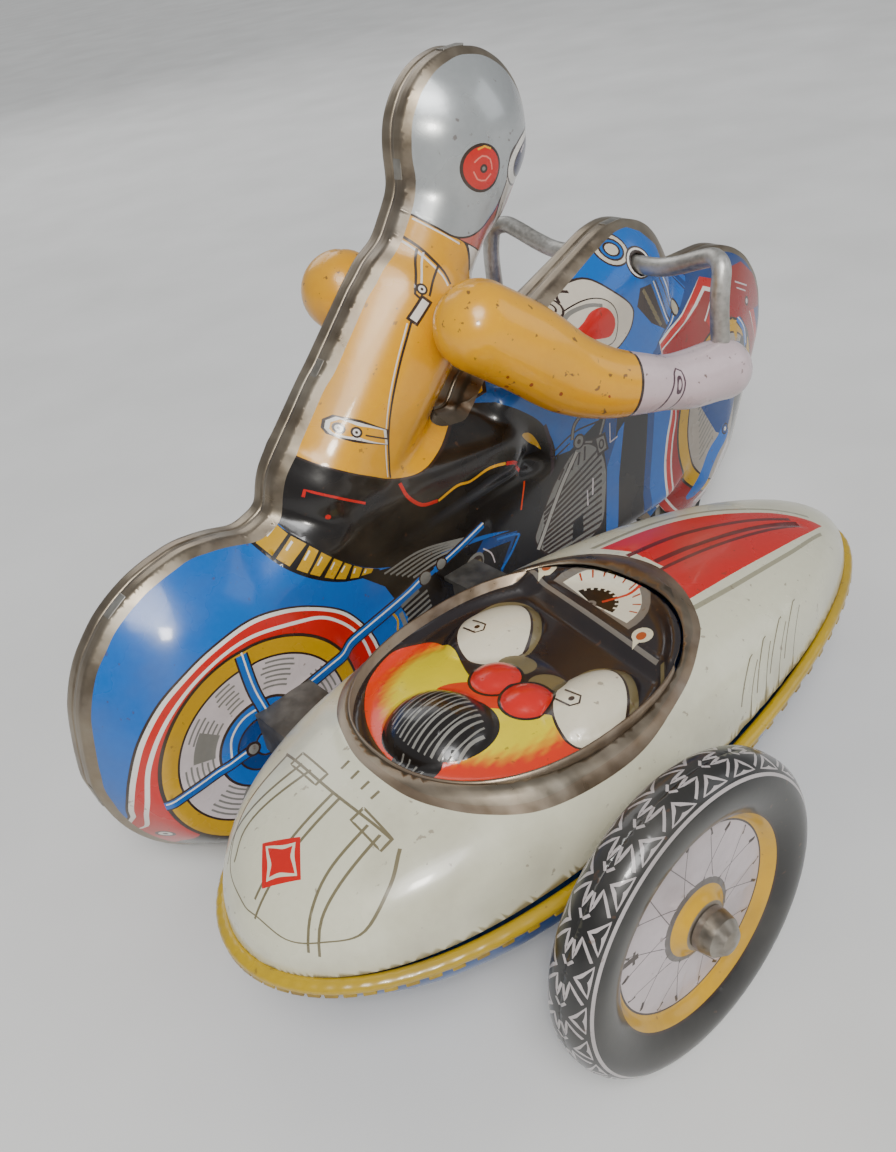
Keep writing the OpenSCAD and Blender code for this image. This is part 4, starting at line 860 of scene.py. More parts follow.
edge_rows = [p for level in (-0.3, -0.6, -0.95, -1.7, -2.2) for p in contour(edge_mm, level)]
right = press("shell_right", outline, BLUE, art, shell_place, 1.0, border=print_edge, extra=edge_rows,
              out=(0, -1, 0))
seam_band(right)
left = mirrored(right, "shell_left")
at_drive = [cutter("round", (-62, s * 8.9, 12), (13, 5.2)) for s in (-1, 1)]
at_front = cutter("round", (59, 0, 10), (11, 11))
at_motor = cutter("box", (-62, 0, 3), (24, 15.6, 10))
bar_hole = cutter("round", (43.5, 0, 76.5), (2.15, 40))
key_hole = cutter("round", (-39.83, 14, 33.28), (3.5, 12))
for obj, node in ((right, "body_shell_right"), (left, "body_shell_left")):
    punch(thicken(obj), at_drive + [at_front, at_motor, bar_hole] + ([key_hole] if obj is left else []))
    bake(obj, [LITHO, INSIDE])
    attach(obj, "root")
    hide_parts(node)
    print(obj.name, len(obj.data.polygons))

# %% [markdown]
# ## Arms and gloves
# Each arm is a smooth tube. Its sheet is drawn unrolled, along the arm and round it, and the
# place function rolls it up. The round coordinate runs from the seam on top, down the outside.

# %% Roll an arm
ARM_LINE = [(-9.0, 20.0, 84.5, 8.0), (-1.5, 22.6, 78.2, 8.0), (5.2, 25.0, 71.6, 7.5), (12.0, 27.6, 67.3, 6.6),
            (19.4, 30.2, 64.7, 5.6), (24.5, 30.9, 63.0, 5.2), (31.0, 31.5, 61.2, 5.7), (40.0, 32.0, 59.6,
                    6.0)]
axis = np.array(curve(ARM_LINE, step=0.5))
run = np.concatenate([[0], np.cumsum(np.linalg.norm(np.diff(axis[:, :3], axis=0), axis=1))])
ARM_LEN = float(run[-1])
PAD = 8.0

def arm_place(uv):
    """u is along the arm from -PAD to its length plus a glove's end, v is 0 to 36 round it."""
    end_r = 6.0
    s = np.clip(uv[:, 0], 0, ARM_LEN)
    c = np.stack([np.interp(s, run, axis[:, k]) for k in range(4)], 1)
    ahead_s = np.clip(s + 0.6, 0, ARM_LEN)
    behind = np.clip(s - 0.6, 0, ARM_LEN)
    t = np.stack([np.interp(ahead_s, run, axis[:, k]) - np.interp(behind, run,
            axis[:, k]) for k in range(3)], 1)
    t /= np.linalg.norm(t, axis=1, keepdims=True)
    up = np.array([0, 0, 1.0]) - t * t[:, 2:3]
    up /= np.linalg.norm(up, axis=1, keepdims=True)
    side = np.cross(t, up)
    r = c[:, 3].copy()
    push = np.zeros(len(s))
    back = uv[:, 0] < 0
    ang = np.clip(-uv[:, 0] / PAD, 0, 1) * math.pi / 2
    r[back] = c[back, 3] * np.cos(ang[back])
    push[back] = -c[back, 3] * np.sin(ang[back])
    front_end = uv[:, 0] > ARM_LEN
    ang = np.clip((uv[:, 0] - ARM_LEN) / end_r, 0, 1) * math.pi / 2
    r[front_end] = end_r * np.cos(ang[front_end])
    push[front_end] = end_r * np.sin(ang[front_end])
    theta = uv[:, 1] / 36 * math.tau
    seam = 1 - 0.045 * (np.exp(-(np.sin(theta / 2) / 0.05) ** 2) + np.exp(-(np.cos(theta / 2) / 0.05) ** 2))
    knuckle = 1 + 0.05 * np.exp(-((s - ARM_LEN + 3) / 5) ** 2) * np.cos(theta)
    r = r * seam * knuckle
    return c[:, :3] + t * push[:, None] + up * (r * np.cos(theta))[:, None] - side * (r * np.sin(theta))[:,
            None]

CUFF = 33.0
arm_art = []
arm_put = printer(arm_art)
end_u = ARM_LEN + 6.0
arm_put(GLOVE, poly([(CUFF, 0), (end_u, 0), (end_u, 36), (CUFF, 36)]))
arm_put(LINE, poly([(CUFF - 0.4, 0), (CUFF + 0.2, 0), (CUFF + 0.2, 36), (CUFF - 0.4, 36)]))
PLUM = ink(72, 44, 58)
arm_put(PLUM, stroke([(CUFF + 6.4, 5.6), (CUFF + 5.9, 9), (CUFF + 4.6, 14), (CUFF + 3.2, 20),
                      (CUFF + 2.2, 34)], 0.42))
arm_put(PLUM, stroke([(CUFF + 9.2, 7.4), (CUFF + 9, 10), (CUFF + 7.6, 15), (CUFF + 6, 20),
                      (CUFF + 4.4, 34)], 0.42))
arm_put(PLUM, stroke([(CUFF + 6.4, 5.6), (CUFF + 7.2, 4.6), (CUFF + 8.6, 5.2), (CUFF + 9.2, 7.4)], 0.42))
arm_put(PLUM, curve([(CUFF + 7, 6.4), (CUFF + 8, 6.2), (CUFF + 8.5, 8), (CUFF + 8.2, 9.8),
                     (CUFF + 7.1, 9.8), (CUFF + 6.9, 8)], True, 0.4))
arm_put(GLOVE, oval(CUFF + 7.7, 8, 0.42, 1.1))
for u, v, r in ((6, 13, 0.35), (8, 15, 0.5), (11, 12.5, 0.45), (5, 17, 0.3), (13, 16.5, 0.55),
                (9.5, 18.5, 0.4),
                (17, 11.5, 0.4), (20, 15, 0.3), (26, 9.5, 0.3), (15, 20, 0.3)):
    arm_put(ink(150, 60, 14, 0.1), oval(u, v, r, r * 0.7, 30, 0.3))

def make_arm(name, flip):
    sheet = poly([(-PAD, 0), (end_u, 0), (end_u, 36), (-PAD, 36)])
    obj = press(name, sheet, YELLOW, arm_art, arm_place, 0.9)
    if flip:
        obj.data.transform(Matrix.Scale(-1, 4, (0, 1, 0)))
    bm = bmesh.new()
    bm.from_mesh(obj.data)
    bmesh.ops.remove_doubles(bm, verts=bm.verts, dist=0.00002)
    bmesh.ops.recalc_face_normals(bm, faces=bm.faces)
    bm.to_mesh(obj.data)
    bm.free()
    obj.data.materials.append(LITHO_ARM)
    return obj

for name, flip in (("right_arm", True), ("left_arm", False)):
    arm = make_arm(name, flip)
    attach(arm, "root")
    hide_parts(f"{name}_outer", f"{name}_inner")

# %% [markdown]
# ## Handlebar
# One bent rod, swept along a smooth line from glove to glove.

# %% Handlebar
def sweep(name, pts, r, mat, sides=20, step=0.7):
    line = np.array(curve(pts, step=step))
    t = np.gradient(line, axis=0)
    t /= np.linalg.norm(t, axis=1, keepdims=True)
    n = np.cross(t[0], (0.3, 1, 0.2))
    rings = []
    for p, d in zip(line, t):
        n = n - d * np.dot(n, d)
        n /= np.linalg.norm(n)
        b = np.cross(d, n)
        rings += [p + r * (n * math.cos(a) + b * math.sin(a)) for a in np.arange(sides) / sides * math.tau]
    faces = [(i * sides + k, i * sides + (k + 1) % sides, (i + 1) * sides + (k + 1) % sides,
              (i + 1) * sides + k)
             for i in range(len(line) - 1) for k in range(sides)]
    faces += [tuple(range(sides))[::-1], tuple(range(len(rings) - sides, len(rings)))]
    obj = make_mesh(name, rings, faces)
    faced(obj)
    obj.data.materials.append(mat)
    return obj

half_bar = [(43.5, 0, 76.5), (43.5, 9, 76.5), (43.5, 15, 76.7), (43.4, 20, 77.9), (43.2, 25.5, 79.8),
            (42.8, 29, 80.7),
            (41.4, 31.6, 79.6), (40.4, 32, 76), (40, 32, 72), (40, 32, 66), (40, 32, 61)]
whole = [(x, -y, z) for x, y, z in half_bar[:0:-1]] + half_bar
bar = sweep("handlebar_rod", whole, 1.85, STEEL, 24)
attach(bar, "root")
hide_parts("handlebar")

# %% [markdown]
# ## The sidecar's outline and dome
# The plan is a long rounded shape, fuller at the tail than at the nose. Ink is drawn in the
# plan; a sheet coordinate spreads the steep sides out so that the mesh is even there too.

# %% Sidecar form
CX, CY, HALF = -29.4, -51.7, 29.1
TAIL, NOSE = 65.8, 75.5

def plan(a, g):
    c, s = np.cos(a), np.sin(a)
    length, power = np.where(c < 0, TAIL, NOSE), np.where(c < 0, 3.0, 1.53)
    return np.stack([np.sign(c) * (length + g) * np.abs(c) ** (2 / power), (HALF + g) * s], -1)

TABLE_A = np.linspace(-math.pi, math.pi, 2881)

def polar_of(xy, g):
    """Angle parameter and fraction of the way out, for plan points."""
    d = np.asarray(xy, float) - (CX, CY)
    edge = plan(TABLE_A, g)
    theta = np.unwrap(np.arctan2(edge[:, 1], edge[:, 0]))
    theta += -math.pi - theta[0]
    t = np.arctan2(d[:, 1], d[:, 0])
    a = np.interp(t, theta, TABLE_A)
    return a, np.hypot(*d.T) / np.maximum(np.hypot(*plan(a, g).T), 1e-9)

def dome_power(a, along, across):
    return along + (across - along) * np.sin(a) ** 2 - 0.4 * np.maximum(0, np.cos(a)) ** 2

def to_sheet(shape, g, along, across):
    """Plan points to sheet points: the same direction, at a distance that follows the slope."""
    a, k = polar_of(shape, g)
    n = dome_power(a, along, across)
    f = np.arccos(np.clip(k, 0, 1) ** (n / 2)) / (math.pi / 2)
    return [tuple(q) for q in plan(a, g) * (1 - f)[:, None] + (CX, CY)]

def dome_place(g, base, rise, along, across, emboss=None):
    def place(uv):
        a, w = polar_of(uv, g)
        n = dome_power(a, along, across)
        f = np.clip(1 - w, 0, 1) * math.pi / 2
        k = np.cos(f) ** (2 / n)
        xy = plan(a, g) * k[:, None] + (CX, CY)
        z = base + rise * np.sin(f) ** (2 / n)
        if emboss is not None:
            z = z + emboss(xy)
        return np.column_stack([xy, z])
    return place

G = -1.8
car_edge = [tuple(q) for q in plan(np.linspace(0, math.tau, 361)[:-1], G) + (CX, CY)]
PIT_X, PIT_Y, PLATE_UP = -37.5, -51.7, 41.9
pit = [(PIT_X + math.copysign(27.5 * abs(math.cos(a)) ** 0.87, math.cos(a)),
        PIT_Y + math.copysign(22.5 * abs(math.sin(a)) ** 0.87,
                              math.sin(a))) for a in np.arange(96) / 96 * math.tau]

def near_line(xy, pts, width):
    line = np.array(curve(pts, step=0.6))
    return np.exp(-((xy[:, None, :] - line[None]) ** 2).sum(-1).min(1) / (2 * width * width))

LOUVRES = [((-9.8, -75.3), (-15.3, -77.7)), ((-4.9, -74.2), (-10.5, -77.1)), ((1.1, -72.9), (-6, -76.3)),
           ((6.9, -71.5), (-0.9, -75.4))]
PIT_BORDER = [(-62.7, -37.6), (-65.9, -44.1), (-67.5, -50.4), (-67.4, -59.2), (-65.4, -65.5),
              (-61.6, -70.7), (-55.5, -74.6),
              (-45.8, -76.6), (-35.3, -76.8), (-24.5, -74.5), (-17.1, -71.1), (-11.9, -67.2), (-6.9,
                      -59.4), (-4.6, -51),
              (-7.2, -41.8), (-13.1, -35.1), (-21, -30), (-33, -27), (-46, -27.6), (-56, -31.4)]

def car_emboss(xy):
    z = np.zeros(len(xy))
    rim = np.hypot((xy[:, 0] - PIT_X) / 29.5, (xy[:, 1] - PIT_Y) / 24.5)
    z += 0.5 * np.exp(-((rim - 1.0) / 0.05) ** 2)
    z -= 0.25 * near_line(xy, [(5.4, -52.2), (17.4, -55.3), (28, -59.4)], 0.5) * (xy[:, 0] > -4)
    for p, q in LOUVRES:
        z += 0.35 * near_line(xy, [p, q], 0.6)
    return z

car_sheet = lambda shape: to_sheet(shape, G, 2.6, 3.6)
car_art = []
car_put = printer(car_art, car_sheet)

def car_line(colour, pts, width, smooth=True):
    """A line on the dome. It gets its width on the sheet, so it stays even on the steep sides."""
    car_art.append((colour, ribbon(car_sheet(curve(pts) if smooth else path(pts)), width)))

GRIME = ink(150, 146, 122)
TRACE = ink(112, 104, 78)
stripe_l = [(-5.7, -40.4), (5.4, -42.4), (15.3, -45.8), (24.8, -52.1), (29.7, -57.2), (32.1, -60.4)]
stripe_r = [(32.1, -60.4), (24.8, -61.7), (12.8, -62.8), (-1.2, -63), (-12, -62.8)]
car_line(GRIME, [(-6.4, -39), (7.5, -40.9), (17.4, -44.5), (26.5, -51.2), (32, -57.5)], 0.6)
car_line(GRIME, [(-11.5, -64.8), (0.9, -65.2), (15.9, -64.4), (29.1, -62.2)], 0.6)
car_put(RED, curve(stripe_l)[:-1] + curve(stripe_r) + [(-7.1, -53.1), (-3.9, -49.2)])
DARK_RED = ink(96, 12, 10)
for lane, w in (([(-5.2, -46.3), (6.7, -48.2), (18.4, -52.4), (26.9, -57)], 1.1),
                ([(-3.6, -51.2), (6.5, -52.8), (17.4, -55.3), (27, -58.6)], 1.3),
                ([(-9, -53.2), (4, -54.8), (17.5, -57.3), (26.7, -59.3)], 0.9)):
    car_put(DARK_RED, stroke(lane, w))
car_put(CREAM, poly([(-8, -48.6), (-3.6, -48.8), (-4, -53.4), (-8.4, -53)]))
for p, q in LOUVRES:
    car_line(TRACE, [p, q], 0.34, False)
    car_line(TRACE, [(p[0] + 1.5, p[1] - 0.3), (q[0] + 1.7, q[1] - 0.2)], 0.26, False)
    car_line(TRACE, [p, (p[0] + 1.0, p[1] + 0.3)], 0.26, False)
# Trunk lid, straps and a plain red lozenge on the tail
car_line(TRACE, [(-72.6, -37), (-73.2, -50), (-72.9, -63.8)], 0.42)
for box in ([(-71.2, -39.9), (-71.6, -47.1), (-73.9, -47.1), (-73.6, -39.9)],
            [(-72.2, -56.7), (-72.8, -63.8), (-75, -63.8), (-74.6, -56.7)]):
    car_line(TRACE, box + [box[0]], 0.34, False)
for lane in ([(-72.6, -41.7), (-84.1, -40), (-88.7, -42.7)], [(-72.6, -44.1), (-83.2, -42), (-88.2, -44.4)],
             [(-73.3, -50.7), (-81.8, -51.2), (-89.8, -52.4)], [(-73.2, -52.3), (-81.7, -52.8),
                     (-91.2, -53.9)],
             [(-73.6, -59.4), (-81.1, -59.8), (-85.8, -61.2), (-88.8, -62.9)], [(-73.5, -62),
                     (-81.4, -62.4), (-85.6, -63), (-88, -64.2)]):
    car_line(TRACE, lane, 0.34)
car_line(TRACE, [(-72.6, -37.4), (-82, -38.4), (-88.6, -43.6), (-90.9, -50.2), (-90.9, -54), (-90, -59.7),
                 (-87, -64.2),
                 (-82.4, -68), (-77, -67.8), (-73, -65.6)], 0.36)
LOZENGE = [(-80.6, -52.2), (-84.4, -57.2), (-88.4, -52.6), (-84.4, -47.4)]
car_put(RED, poly(LOZENGE))
car_put(CREAM, toward(poly(LOZENGE), (-84.4, -52.3), 0.9))
car_put(RED, toward(poly(LOZENGE), (-84.4, -52.3), 1.5))
for x, y in ((-69, -48.2), (-69.3, -51), (-69.6, -53.8), (-69.8, -56.4)):
    car_line(TRACE, [(x - 0.8, y), (x + 0.8, y)], 0.3, False)
car_put(COPPER, curve(PIT_BORDER, True))
car_put(BARE, toward(curve(PIT_BORDER, True), (-37, -52), 1.2))

car_put(None, poly(pit))

upper = press("sidecar_top", to_sheet(car_edge, G + 0.004, 2.6, 3.6), CREAM, car_art,
              dome_place(G, 28.4, 18.0, 2.6, 3.6, car_emboss), 1.0, out=(0, 0, 1))
thicken(upper)
bake(upper, [LITHO_CAR, INSIDE])
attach(upper, "root")
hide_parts("sidecar_upper")

# %% Pan and rolled rim
pan_sheet = [tuple(q) for q in plan(np.linspace(0, math.tau, 361)[:-1], G) + (CX, CY)]

def pan_place(uv):
    xyz = dome_place(G, 27.8, -12.5, 2.4, 3.0)(uv)
    xyz[:, 2] = np.maximum(xyz[:, 2], 16.9 + 0.35 * np.sin(xyz[:, 0] * 0.09) ** 2)
    return xyz

pan = press("sidecar_base", pan_sheet, ink(6, 74, 142), [], pan_place, 1.3, out=(0, 0, -1))
thicken(pan)
bake(pan, [LITHO_CAR, INSIDE])

def around(name, profile, base, count=360, wave=None):
    """Carries a closed profile of (out, up) points round the sidecar's plan."""
    a = np.arange(count) / count * math.tau
    rings = []
    for out, up in profile:
        ripple = 0 if wave is None else wave * (out > -0.9) * np.sin(a * 90) * 0.5
        rings.append(np.column_stack([plan(a, out) + (CX, CY), np.full(count, up) + ripple]))
    verts = np.vstack(rings)
    m = len(profile)
    faces = [(i * count + k, i * count + (k + 1) % count, ((i + 1) % m) * count + (k + 1) % count,
              ((i + 1) % m) * count + k)
             for i in range(m) for k in range(count)]
    obj = make_mesh(name, verts, faces, np.tile(base, (len(faces) * 4, 1)))
    faced(obj)
    obj.data.materials.append(LITHO_CAR)
    return obj

bead = [(-1.5 + 1.5 * math.cos(t) if math.cos(t) > 0 else -1.5 + 0.9 * math.cos(t),
         28.25 + 1.05 * math.sin(t))
        for t in np.arange(18) / 18 * math.tau]
rim = around("sidecar_rim", bead, ink(178, 146, 18), 720, 0.10)
for obj in (pan, rim):
    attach(obj, "root")
    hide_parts("sidecar_pan")

# %% [markdown]
# ## Cockpit plate
# The passenger is pressed up out of the plate: a dark head of hair at the back, two pale sleeves
# and red knees, with a printed dashboard ahead of them.

# %% Cockpit form
def bump(xy, x, y, rx, ry, up, power):
    d = np.hypot((xy[:, 0] - x) / rx, (xy[:, 1] - y) / ry)
    return up * np.clip(1 - d ** 2, 0, 1) ** (1 / power)

# Place, half sizes, height and roundness of each raised part over the seat's swell
SEAT = (-48.0, -52.0, 16, 18.5, 2.0, 1.2)
RAISED = {"hair": (-54.0, -51.6, 8.4, 9.6, 5.0, 1.5), "left sleeve": (-32.6, -40.6, 9.6, 7.0, 3.2, 1.5),
          "right sleeve": (-35.6, -65.0, 9.4, 6.4, 3.2, 1.5), "left knee": (-41.0, -50.0, 5.0, 4.8, 3.0, 1.5),
          "right knee": (-41.8, -57.4, 5.0, 4.6, 3.0, 1.5)}
DASH_UP = 2.4

def pit_height(xy):
    z = np.full(len(xy), PLATE_UP) + bump(xy, *SEAT)
    for part in RAISED.values():
        z = np.maximum(z, PLATE_UP + bump(xy, *part))
    dash = np.clip((xy[:, 0] + 23.5 - 0.14 * (xy[:, 1] - PIT_Y)) / 4.0, 0, 1)
    return np.maximum(z, PLATE_UP + DASH_UP * dash * dash * (3 - 2 * dash))

# %% Cockpit print
def orange_to_yellow(x, y):
    """The airbrushed edge: orange outside, lemon inside, with a speckled change between them."""
    d = math.hypot((x + 44.5) / 17.5,
                   (y + 50.5) / 19.5) + 0.035 * math.sin(x * 9.1 + y * 5.3) * math.sin(y * 7.7)
    t = min(1, max(0, (d - 0.74) / 0.16))
    return tuple(a * (1 - t) + b * t for a, b in zip(LEMON, ink(214, 48, 8)))

pit_art = []
pit_put = printer(pit_art)
BROWN = ink(30, 24, 26)
JACKET = [(-40, -33), (-46, -31), (-54, -34), (-60, -41), (-63, -50), (-62.5, -59), (-59, -67), (-52, -72),
          (-44, -72), (-42, -66), (-43, -59), (-45, -53), (-43, -46), (-40, -39)]
pit_put(LINE, toward(curve(JACKET, True), (-50, -52), -0.4))
pit_put(orange_to_yellow, curve(JACKET, True))
pit_put(ink(206, 44, 14), oval(-44.5, -53, 3.0, 9.0, 30))

# Sleeves, each a bean with a painted olive shadow beside it, then the knees between them, each with a painted
# olive shadow ahead of it
for x, y, rx, ry in ((-32.5, -41, 8.6, 6.0), (-36, -66, 8.2, 5.4)):
    # painted shadow: an olive oval set off beside the raised sleeve
    pit_put(OLIVE, oval(x + 1.3, y, rx + 0.8, ry + 0.8, 36))
    pit_put(LINE, oval(x, y, rx + 0.4, ry + 0.4, 36))
    pit_put(ink(222, 214, 190), oval(x, y, rx, ry, 36))
    pit_put(LINE, ribbon([(x - 3.2, y + 4.2), (x - 3.4, y + 0.8), (x - 2.2, y), (x - 1.0, y + 0.8),
                          (x - 1.0, y + 4.2)], 0.35))
    pit_put(LINE, oval(x - 2.2, y + 1.6, 0.5, 0.5, 16))
for x, y in ((-36, -50), (-36.5, -57.5)):
    # painted shadow: an olive oval peeking out ahead of each raised knee
    pit_put(OLIVE, oval(x, y, 3.0, 3.2, 24))
for x, y in ((-41, -50.5), (-41.5, -58)):
    pit_put(BLACK, oval(x, y, 4.7, 4.5, 30))
    pit_put(ink(206, 28, 18), oval(x, y, 4.2, 4.0, 30))

# Hair, with a grey striation every millimetre, and the collar behind it
pit_put(BLACK, oval(-60.5, -54.5, 5.0, 4.2, 26), oval(-54.5, -52.5, 7.2, 9.2, 36))
for k in range(-7, 8):
    half = 6.0 * math.sqrt(1 - (k / 8) ** 2)
    y0 = -52.5 + 1.05 * k
    lock = [(-54.5 + half, y0 + 0.4), (-54.5, y0 + 0.2 * (k % 3)), (-54.5 - half, y0)]
    pit_put(ink(128, 126, 120), stroke(lock, 0.26 + 0.09 * (k % 3)))
for k in range(4):
    pit_put(GREY, stroke([(-61.5, -52.5 - 1.4 * k), (-64.5, -53 - 1.4 * k)], 0.3, False))

# Dashboard edge, gauge with plain ticks, and the two knobs
SILVERY = ink(112, 106, 98)
pit_put(SILVERY, stroke([(-17, -29), (-19, -43), (-21, -56), (-23, -68)], 0.7))
pit_put(OLIVE, stroke([(-23, -69), (-27, -72), (-32, -74), (-38, -74.5)], 0.6))
gc, ga = (-18, -49.5), math.radians(-8)

def gauge(r0, r1, a0, a1, n=18):
    arc = lambda r: [(gc[0] + r * math.cos(t + ga),
                      gc[1] + r * math.sin(t + ga)) for t in np.radians(np.linspace(a0, a1, n))]
    return arc(r1) + arc(r0)[::-1]

pit_put(SILVERY, gauge(0.3, 9.9, -92, 92))
pit_put(ink(220, 214, 192), gauge(1.2, 8.4, -86, 86))
pit_put(BLACK, gauge(0.9, 4.6, -80, 80))
for k in range(9):
    pit_put(ink(160, 60, 20), gauge(6.9, 8.3, -64 + 16 * k - 1.2, -64 + 16 * k + 1.2, 3))
    pit_put(ink(220, 214, 192), gauge(4.0, 4.9, -64 + 16 * k - 3, -64 + 16 * k + 3, 3))
pit_put(ink(190, 50, 24), stroke([(gc[0] + 1.4, gc[1] - 1.2), (gc[0] + 7.6, gc[1] - 4.4)], 0.55, False))
for x, y in ((-15.5, -37), (-19.5, -62)):
    pit_put(ink(214, 204, 172), oval(x, y, 2.0, 1.7, 20),
            poly([(x - 1.6, y - 0.9), (x - 3.1, y - 0.5), (x - 1.4, y + 0.7)]))
    pit_put(ink(168, 74, 14), oval(x - 0.3, y, 1.1, 0.8, 20))
print("ink shapes in the cockpit:", len(pit_art))

plate_edge = [(PIT_X + (x - PIT_X) * 0.985, PIT_Y + (y - PIT_Y) * 0.983) for x, y in pit]
LIP_TOP = 45.2

def pit_place(xy):
    far = np.hypot((xy[:, 0] - PIT_X) / 27.0, (xy[:, 1] - PIT_Y) / 22.0)
    lip = np.clip((far - 0.90) / 0.10, 0, 1)
    return np.column_stack([xy, pit_height(xy) + 1.2 * lip ** 2])

cockpit = press("cockpit", poly(plate_edge), BROWN, pit_art, pit_place, 0.6, out=(0, 0, 1))
bm = bmesh.new()
bm.from_mesh(cockpit.data)
layer = bm.loops.layers.float_color["ink"]
rim_edges = [e for e in bm.edges if e.is_boundary]
made = bmesh.ops.extrude_edge_only(bm, edges=rim_edges)["geom"]
for v in (g for g in made if isinstance(g, bmesh.types.BMVert)):
    v.co.z = LIP_TOP * 0.001
for f in (g for g in made if isinstance(g, bmesh.types.BMFace)):
    f.smooth = True
    for l in f.loops:
        l[layer] = COPPER
bmesh.ops.recalc_face_normals(bm, faces=bm.faces)
bm.to_mesh(cockpit.data)
bm.free()
if sum(p.normal.z * p.area for p in cockpit.data.polygons) < 0:
    cockpit.data.flip_normals()
thicken(cockpit, 0.4)
bake(cockpit, [LITHO_PIT, INSIDE])
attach(cockpit, "root")
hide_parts("cockpit_plate")

# %% [markdown]
# ## Sidecar wheel
# Two pressings meet in the middle of the tread. Each is one round sheet: the distance from its
# middle runs out over the disc, over the shoulder and down the tread to the seam.

# %% Wheel form
WX, WZ = -45.5, 24.8
W_IN, W_OUT = -86.2, -95.2
PROFILE = [(1.35, 3.5), (3.6, 3.5), (4.6, 2.6), (5.6, 2.0), (8, 1.6), (14.6, 1.3), (15.6, 1.6), (16.6, 2.8),
           (18.6, 4.0),
           (20.6, 4.45), (22.2, 4.3), (23.5, 3.5), (24.4, 2.3), (24.75, 1.1), (24.8, 0)]
prof = np.array(curve(PROFILE, step=0.25))
prof_len = np.concatenate([[0], np.cumsum(np.hypot(*np.diff(prof, axis=0).T))]) + 1.35
REACH = float(prof_len[-1])

def wheel_place(side):
    def place(xy):
        rho, t = np.hypot(*xy.T), np.arctan2(xy[:, 1], xy[:, 0])
        r, w = np.interp(rho, prof_len, prof[:, 0]), np.interp(rho, prof_len, prof[:, 1])
        spoke = 0.12 * np.clip(np.cos(t * 20) - 0.86, 0, 1) / 0.14 * ((r > 6.2) & (r < 14.2))
        mid = (W_IN + W_OUT) / 2
        return np.column_stack([WX + r * np.cos(t), mid - side * (w + spoke), WZ + r * np.sin(t)])
    return place

def ring_at(r):
    """Sheet distance of a place on the profile, counted from the disc outward."""
    return float(np.interp(r, prof[:, 0], prof_len))

def spot(rho, deg):
    return (rho * math.cos(math.radians(deg)), rho * math.sin(math.radians(deg)))

wheel_art = []
w_put = printer(wheel_art)
PALE = ink(176, 168, 168)
TYRE = ink(27, 26, 25)
EDGE_LINE = ring_at(22.8)
w_put(PALE, oval(0, 0, EDGE_LINE + 0.55))
w_put(TYRE, oval(0, 0, EDGE_LINE + 0.05))
REPEATS = 24
T0, T1, T2 = EDGE_LINE + 1.1, EDGE_LINE + 3.6, REACH - 0.1
for k in range(REPEATS):
    a = 360 / REPEATS * k
    wide = 360 / REPEATS
    tri = [spot(T0, a + 0.06 * wide), spot(T0, a + 0.86 * wide), spot(T1 - 0.2, a + 0.46 * wide)]
    w_put(PALE, poly(tri, 0.6))
    w_put(TYRE, toward(poly(tri, 0.6), np.mean(tri, axis=0), 0.55))
    zig = [spot(T0 + 0.5, a + 1.02 * wide), spot(T1 + 0.1, a + 0.62 * wide), spot(T1 + 0.5, a + 1.1 * wide),
           spot(T2, a + 0.74 * wide)]
    w_put(PALE, stroke(zig, 0.42, False))
    w_put(PALE, stroke([spot(T1 + 0.3, a + 0.16 * wide), spot(T2, a + 0.3 * wide)], 0.42, False))
w_put(LINE, oval(0, 0, ring_at(17.1)))
w_put(OCHRE, oval(0, 0, ring_at(16.8)))
w_put(LINE, oval(0, 0, ring_at(15.2)))
w_put(ink(192, 180, 184), oval(0, 0, ring_at(14.9)))
DASH = ink(96, 88, 90)
for k in range(20):
    lean = 15 if k % 2 else -15
    a = 18 * k
    w_put(DASH, stroke([spot(ring_at(5.8), a + 1.6 * lean), spot(ring_at(14.6), a)], 0.16, False))
    w_put(LINE, stroke([spot(ring_at(13.4), a + 0.18 * lean), spot(ring_at(14.7), a)], 0.4, False))
w_put(LINE, stroke([spot(ring_at(11.6), 166), spot(ring_at(14.7), 168)], 1.0, False),
      stroke([spot(ring_at(12.6), 161), spot(ring_at(12.4), 172)], 0.5, False))
w_put(ink(92, 86, 84), oval(0, 0, ring_at(6.6)))
w_put(OCHRE, oval(0, 0, ring_at(5.7)))
w_put(ink(120, 116, 110, 0.8), oval(0, 0, ring_at(3.9)))
w_put(None, oval(0, 0, 1.36, step=0.4))

for name, side in (("car_wheel_outer", 1), ("car_wheel_inner", -1)):
    half = press(name, oval(0, 0, REACH, step=0.7), TYRE, wheel_art, wheel_place(side), 0.75,
                 out=(0, -side, 0))
    thicken(half)
    bake(half, [LITHO_WHEEL, INSIDE])
    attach(half, "sidecar_wheel")
    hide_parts("sidecar_wheel_outer" if side == 1 else "sidecar_wheel_inner")

# %% [markdown]
# ## The nodes that stay
# The clockwork, axles, struts and road wheels are shown as the CAD made them, each with a metal
# or rubber finish in place of its plain colour.

# %% Finishes for the CAD nodes
FINISH = {
    PLATE_STEEL: ["motor_plate_right", "motor_plate_left", "motor_pillars", "winding_arbor", "click_rivet",
                  "intermediate_arbor",
                  "intermediate_pinion", "drive_axle", "drive_pinion", "front_axle", "sidecar_axle",
                  "axle_washers", "ratchet_wheel"],
    SPRING_STEEL: ["mainspring"], KEY_STEEL: ["winding_key", "axle_cap"],
    BRASS: ["key_eyelet", "click", "great_gear", "intermediate_gear"],
    WHEEL_TIN: ["drive_wheel_right", "drive_wheel_left", "front_wheel"],
    RUBBER: ["drive_tyre_right", "drive_tyre_left", "front_tyre"],
    STRUT_TIN: ["front_bracket", "front_strap", "bracket_rivet", "rear_strut", "front_strut", "strut_rivets"]}
for mat, names in FINISH.items():
    for n in names:
        node = frame["nodes"][n]
        node.data.materials.clear()
        node.data.materials.append(mat)
print("finished nodes:", sum(len(v) for v in FINISH.values()))

